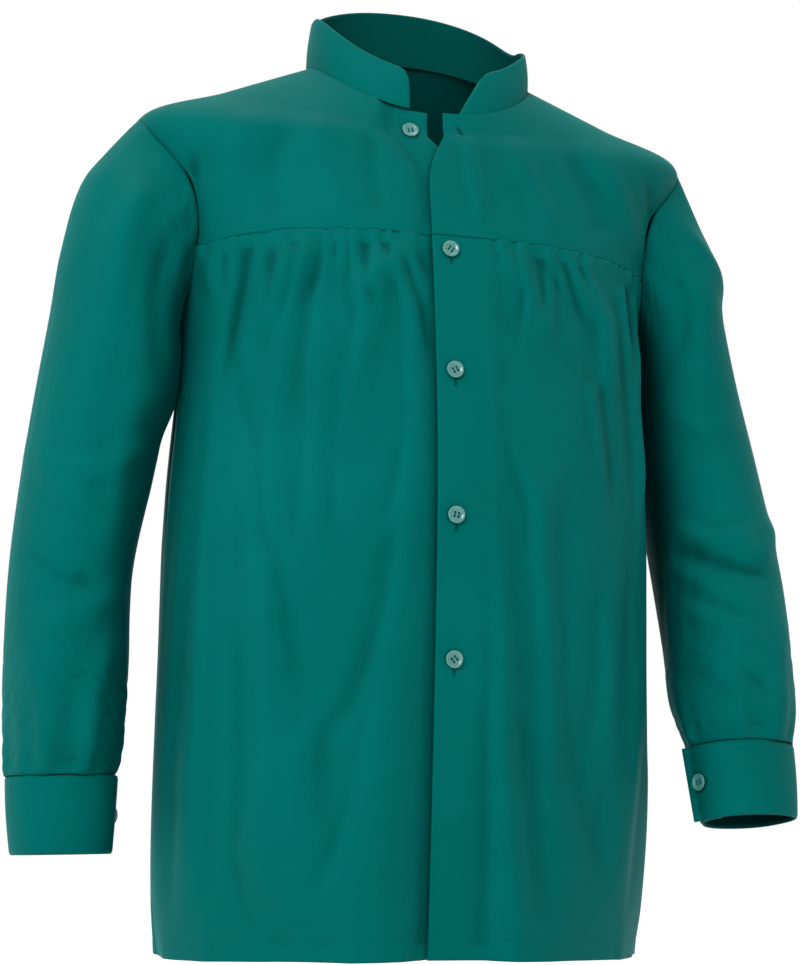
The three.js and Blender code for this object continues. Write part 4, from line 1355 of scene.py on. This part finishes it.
def button_mesh():
    """A dished disc with a rounded rim and four holes, in millimetres about its back."""
    r, h = BUTTON_RADIUS, BUTTON_THICK
    profile = [(r - 1.4, 0), (r - 0.7, 0.12), (r - 0.2, 0.5), (r, 1.1)]
    profile += [(r - 0.55 + 0.55 * math.cos(a), h - 0.55 + 0.55 * math.sin(a))
                for a in np.radians([0, 25, 50, 70, 90])]
    profile += [(r - 1.3, h - 0.08), (r - 1.9, h - 0.35), (r - 2.5, h - 0.75), (r - 3.1, h - 0.9)]
    points, faces = lathe(profile, 64)
    disc = bpy.data.meshes.new("disc")
    disc.from_pydata([tuple(np.array(p) * MM) for p in points], [], faces)
    base = linked("disc", disc)
    drills = []
    for x in (-1, 1):
        for y in (-1, 1):
            points, faces = lathe([(HOLE_RADIUS, -1), (HOLE_RADIUS, h + 1)], 20)
            place = np.array([x, y, 0]) * HOLE_PITCH / 2
            mesh = bpy.data.meshes.new("drill")
            mesh.from_pydata([tuple((np.array(p) + place) * MM) for p in points], [], faces)
            drill = linked("drill", mesh)
            cut = base.modifiers.new("cut", "BOOLEAN")
            cut.object = drill
            cut.operation = "DIFFERENCE"
            cut.solver = "EXACT"
            drills.append(drill)
    made = bpy.data.meshes.new_from_object(
        base.evaluated_get(bpy.context.evaluated_depsgraph_get()))
    for obj in [base] + drills:
        bpy.data.objects.remove(obj, do_unlink=True)
    return made


def tube(path, radius, sides=8):
    """Points and faces of a round thread along a path."""
    path = np.array(path, float)
    ahead = unit(np.gradient(path, axis=0))
    side = unit(np.cross(ahead, np.array([0.31, 0.17, 0.93])))
    up = np.cross(ahead, side)
    turn = np.linspace(0, 2 * math.pi, sides, endpoint=False)
    ring = (np.cos(turn)[None, :, None] * side[:, None] + np.sin(turn)[None, :, None] * up[:, None])
    points = (path[:, None] + radius * ring).reshape(-1, 3)
    faces = grid_faces(len(path), sides, True)
    faces += [list(range(sides))[::-1], [len(points) - sides + k for k in range(sides)]]
    return points, faces


def thread_mesh(shank):
    """Two strands over the face, down through the holes, and the wrapped shank."""
    face = BUTTON_THICK - 0.9
    reach = HOLE_PITCH / 2
    parts = []
    for x in (-reach, reach):
        for shift in (-0.28, 0.28):
            arc = [(x + shift, -reach, -0.5), (x + shift, -reach, face - 0.1),
                   (x + shift, -reach * 0.75, face + 0.35), (x + shift, 0, face + 0.5),
                   (x + shift, reach * 0.75, face + 0.35), (x + shift, reach, face - 0.1),
                   (x + shift, reach, -0.5)]
            parts.append(tube(arc, 0.27))
    turns = np.linspace(0, 2 * math.pi * 4, 60)
    coil = [(0.75 * math.cos(a), 0.75 * math.sin(a), -0.4 - (shank - 0.4) * a / turns[-1])
            for a in turns]
    parts.append(tube(coil, 0.33))
    parts.append(tube([(0, 0, -0.3), (0, 0, -shank / 2), (0, 0, -shank)], 0.7))
    return joined(parts)


def place_on(obj, origin, normal, turn):
    """Stands an object's Z on the cloth, its Y up, then turns it."""
    z = Vector(normal).normalized()
    x = Vector((0, 0, 1)).cross(z).normalized()
    y = z.cross(x)
    basis = Matrix((x, y, z)).transposed().to_4x4()
    obj.data.transform(Matrix.Translation(origin) @ basis @ Matrix.Rotation(turn, 4, "Z"))


def make_buttons():
    disc = button_mesh()
    for joint in frame["joints"]:
        name = joint["name"].removesuffix("_twist")
        if "button" not in name:
            continue
        front = name.startswith("front")
        number = int(name[-1]) - 1 if front else 0
        side = 1 if name.endswith("left") else -1
        turn = math.radians(BUTTON_TURNS[number] if front else 20 * side)
        obj = linked(name + "_resin", disc.copy())
        obj.data.polygons.foreach_set("use_smooth", np.ones(len(obj.data.polygons), bool))
        obj.data.set_sharp_from_angle(angle=math.radians(38))
        place_on(obj, joint["pos_m"], joint["axis"], turn)
        body = name + "_body"
        give(obj, resin, "button", name, body=body)
        shank = SHORT_SHANK if name == "front_button_1" else LONG_SHANK
        points, faces = thread_mesh(shank)
        sewn = mesh_object(name + "_strands", points, faces, points[:, :2] * MM)
        for vertex in sewn.data.vertices:
            vertex.co.z += NECK_HEIGHT * MM
        place_on(sewn, joint["pos_m"], joint["axis"], turn)
        give(sewn, thread, "thread", name + "_thread", body=body)


def buttonhole(name, place, normal, along, length, body="garment"):
    """A worked slit: close stitches across both lips, bars at its ends, and a dark sliver on the
    cloth as painted shadow in the slit.
    """
    place, normal, along = (np.asarray(v, float) for v in (place, normal, along))
    normal, along = unit(normal), unit(along - normal * (along @ unit(normal)))
    side = np.cross(normal, along)
    lips = [([place + along * length * k + side * sign * 0.95 for k in (-0.5, 0.5)], 20, 1.5)
            for sign in (-1, 1)]
    bars = [([place + along * sign * (length / 2 + 0.4) + side * k for k in (-1.5, 1.5)], 12, 1.6)
            for sign in (-1, 1)]
    rows = [stitch_row(np.linspace(*ends, count), np.tile(normal, (count, 1)), pitch=0.55,
                       length=long, sink=-0.05, across=True) for ends, count, long in lips + bars]
    stitches(name + "_stitches", rows, body=body)
    # painted shadow: a dark flat sliver lies on the cloth where the slit would show shade
    u = np.linspace(-1, 1, 24)
    wide = 0.32 * np.sqrt(np.maximum(0.02, 1 - u ** 2))
    path = place + np.outer(u, along) * length / 2 + normal * 0.03
    turn = np.linspace(0, 2 * math.pi, 8, endpoint=False)
    ring = (np.cos(turn)[None, :, None] * side * wide[:, None, None]
            + np.sin(turn)[None, :, None] * normal * 0.12)
    points = (path[:, None] + ring).reshape(-1, 3)
    faces = grid_faces(24, 8, True) + [list(range(8))[::-1], [184 + k for k in range(8)]]
    gap = mesh_object(name + "_gap", points, faces, points[:, [0, 2]] * MM)
    give(gap, dark, "thread", body=body)


def surface_at(grid, normal, x, z):
    """The grid's point nearest to a place seen from the front."""
    away = (grid[..., 0] - x) ** 2 + (grid[..., 2] - z) ** 2
    i, j = np.unravel_index(np.argmin(away), away.shape)
    return grid[i, j].copy(), normal[i, j]


def make_buttonholes(lower):
    out, normal, _ = lower["front_panel_left"]
    for number, height in enumerate(BUTTON_HEIGHTS[1:], 2):
        point, lean = surface_at(out, normal, 0, height - 4.2)
        buttonhole(f"buttonhole_{number}", point, lean, (0, 0, 1), BUTTONHOLE)
    t = 7.87  # the top buttonhole's level on the yoke
    x = OVERLAP - float(front_edge(1, t))
    angle = float(angle_at(np.float64(x), np.float64(t)))
    point = body_point(angle, t) + 1.0 * body_normal(np.float64(angle), t)
    up = body_point(angle, t + 0.3) - body_point(angle, t - 0.3)
    buttonhole("buttonhole_1", point, body_normal(np.float64(angle), t), up, BUTTONHOLE)
    for name in SIDES:
        place = CUFFS[name]
        middle, base, ahead, behind = (
            cuff_point(name, place["open"] + turn, CUFF_HEIGHT / 2, depth)
            for turn, depth in ((0, -CUFF_STEP - 0.1), (0, 0.0), (3, -CUFF_STEP),
                                (-3, -CUFF_STEP)))
        buttonhole(f"cuff_buttonhole_{name}", middle, middle - base, ahead - behind,
                   CUFF_BUTTONHOLE, body=ARM_BODY[name])


def make_plackets(arms):
    """The binding of the slit above each cuff, inside the sleeve."""
    for name in SIDES:
        grid = arms[name]["start"]
        middle = int(round(CUFFS[name]["open"] / 4.5))
        part = refine(grid[-17:, middle - 2:middle + 3])
        centre = grid[-17:].mean((0, 1))
        normal = unit(part - centre - np.array([0, 0, 1]) * (part - centre)[..., 2:])
        out = part - normal * 1.6
        obj = shell(f"sleeve_placket_{name}_cloth", out, out - normal * 0.6, uv=grid_uv(part))
        # painted shade: the placket, inside the sleeve, is in the darker copy of the cloth
        give(obj, lining, "teal_cloth", f"sleeve_placket_{name}", body=ARM_BODY[name])
        declare_flat(out)


# ---- camera, light and floor ----
def add_camera():
    data = bpy.data.cameras.new("camera")
    camera = linked("camera", data)
    azimuth, pitch, roll = math.radians(-15.2), math.radians(6.45), math.radians(1.45)
    data.lens = 76.64
    data.sensor_fit = "AUTO"
    data.sensor_width = 36.0
    reach = 1.76
    aim = Vector((-0.0062, 0, -0.3563))
    ahead = Vector((-math.sin(azimuth) * math.cos(pitch), math.cos(azimuth) * math.cos(pitch),
                    math.sin(pitch)))
    camera.location = aim - ahead * reach / math.cos(pitch)
    turn = ahead.to_track_quat("-Z", "Y").to_matrix().to_4x4()
    camera.matrix_world = Matrix.Translation(camera.location) @ turn @ Matrix.Rotation(roll, 4, "Z")
    bpy.context.scene.camera = camera


def add_light(name, place, size, power):
    data = bpy.data.lights.new(name, "AREA")
    data.shape = "RECTANGLE"
    data.size, data.size_y = size
    data.energy = power
    light = linked(name, data)
    light.location = place
    aim = Vector((0, 0, -0.4)) - Vector(place)
    light.rotation_euler = aim.to_track_quat("-Z", "Y").to_euler()


def add_stage():
    """A wide pale floor under the smock."""
    sides = 64
    points = [(9 * math.cos(2 * math.pi * k / sides), 9 * math.sin(2 * math.pi * k / sides), -0.95)
              for k in range(sides)]
    mesh = bpy.data.meshes.new("floor")
    mesh.from_pydata(points, [], [list(range(sides))])
    material, _, shader = new_material("pale_floor")
    shader.inputs["Base Color"].default_value = (0.98, 0.98, 0.98, 1)
    shader.inputs["Roughness"].default_value = 0.9
    mesh.materials.append(material)
    linked("floor", mesh)
    world = bpy.data.worlds.new("studio")
    world.use_nodes = True
    glow = world.node_tree.nodes["Background"]
    glow.inputs["Color"].default_value = (1, 1, 1, 1)
    glow.inputs["Strength"].default_value = 1.0
    bpy.context.scene.world = world
    add_light("key", (-1.8, -2.2, 0.9), (1.1, 1.4), 95)
    add_light("top", (-0.3, 0.2, 2.4), (1.8, 1.8), 26)
    bpy.context.scene.view_settings.view_transform = "Standard"


add_camera()
add_stage()
body, arms = simulate()
lower = make_lower(body)
make_front_yokes(lower)
make_back_yoke()
make_collar()
for name in SIDES:
    make_sleeve(name, arms[name])
    make_cuff(name)
make_plackets(arms)
make_buttons()
make_buttonholes(lower)
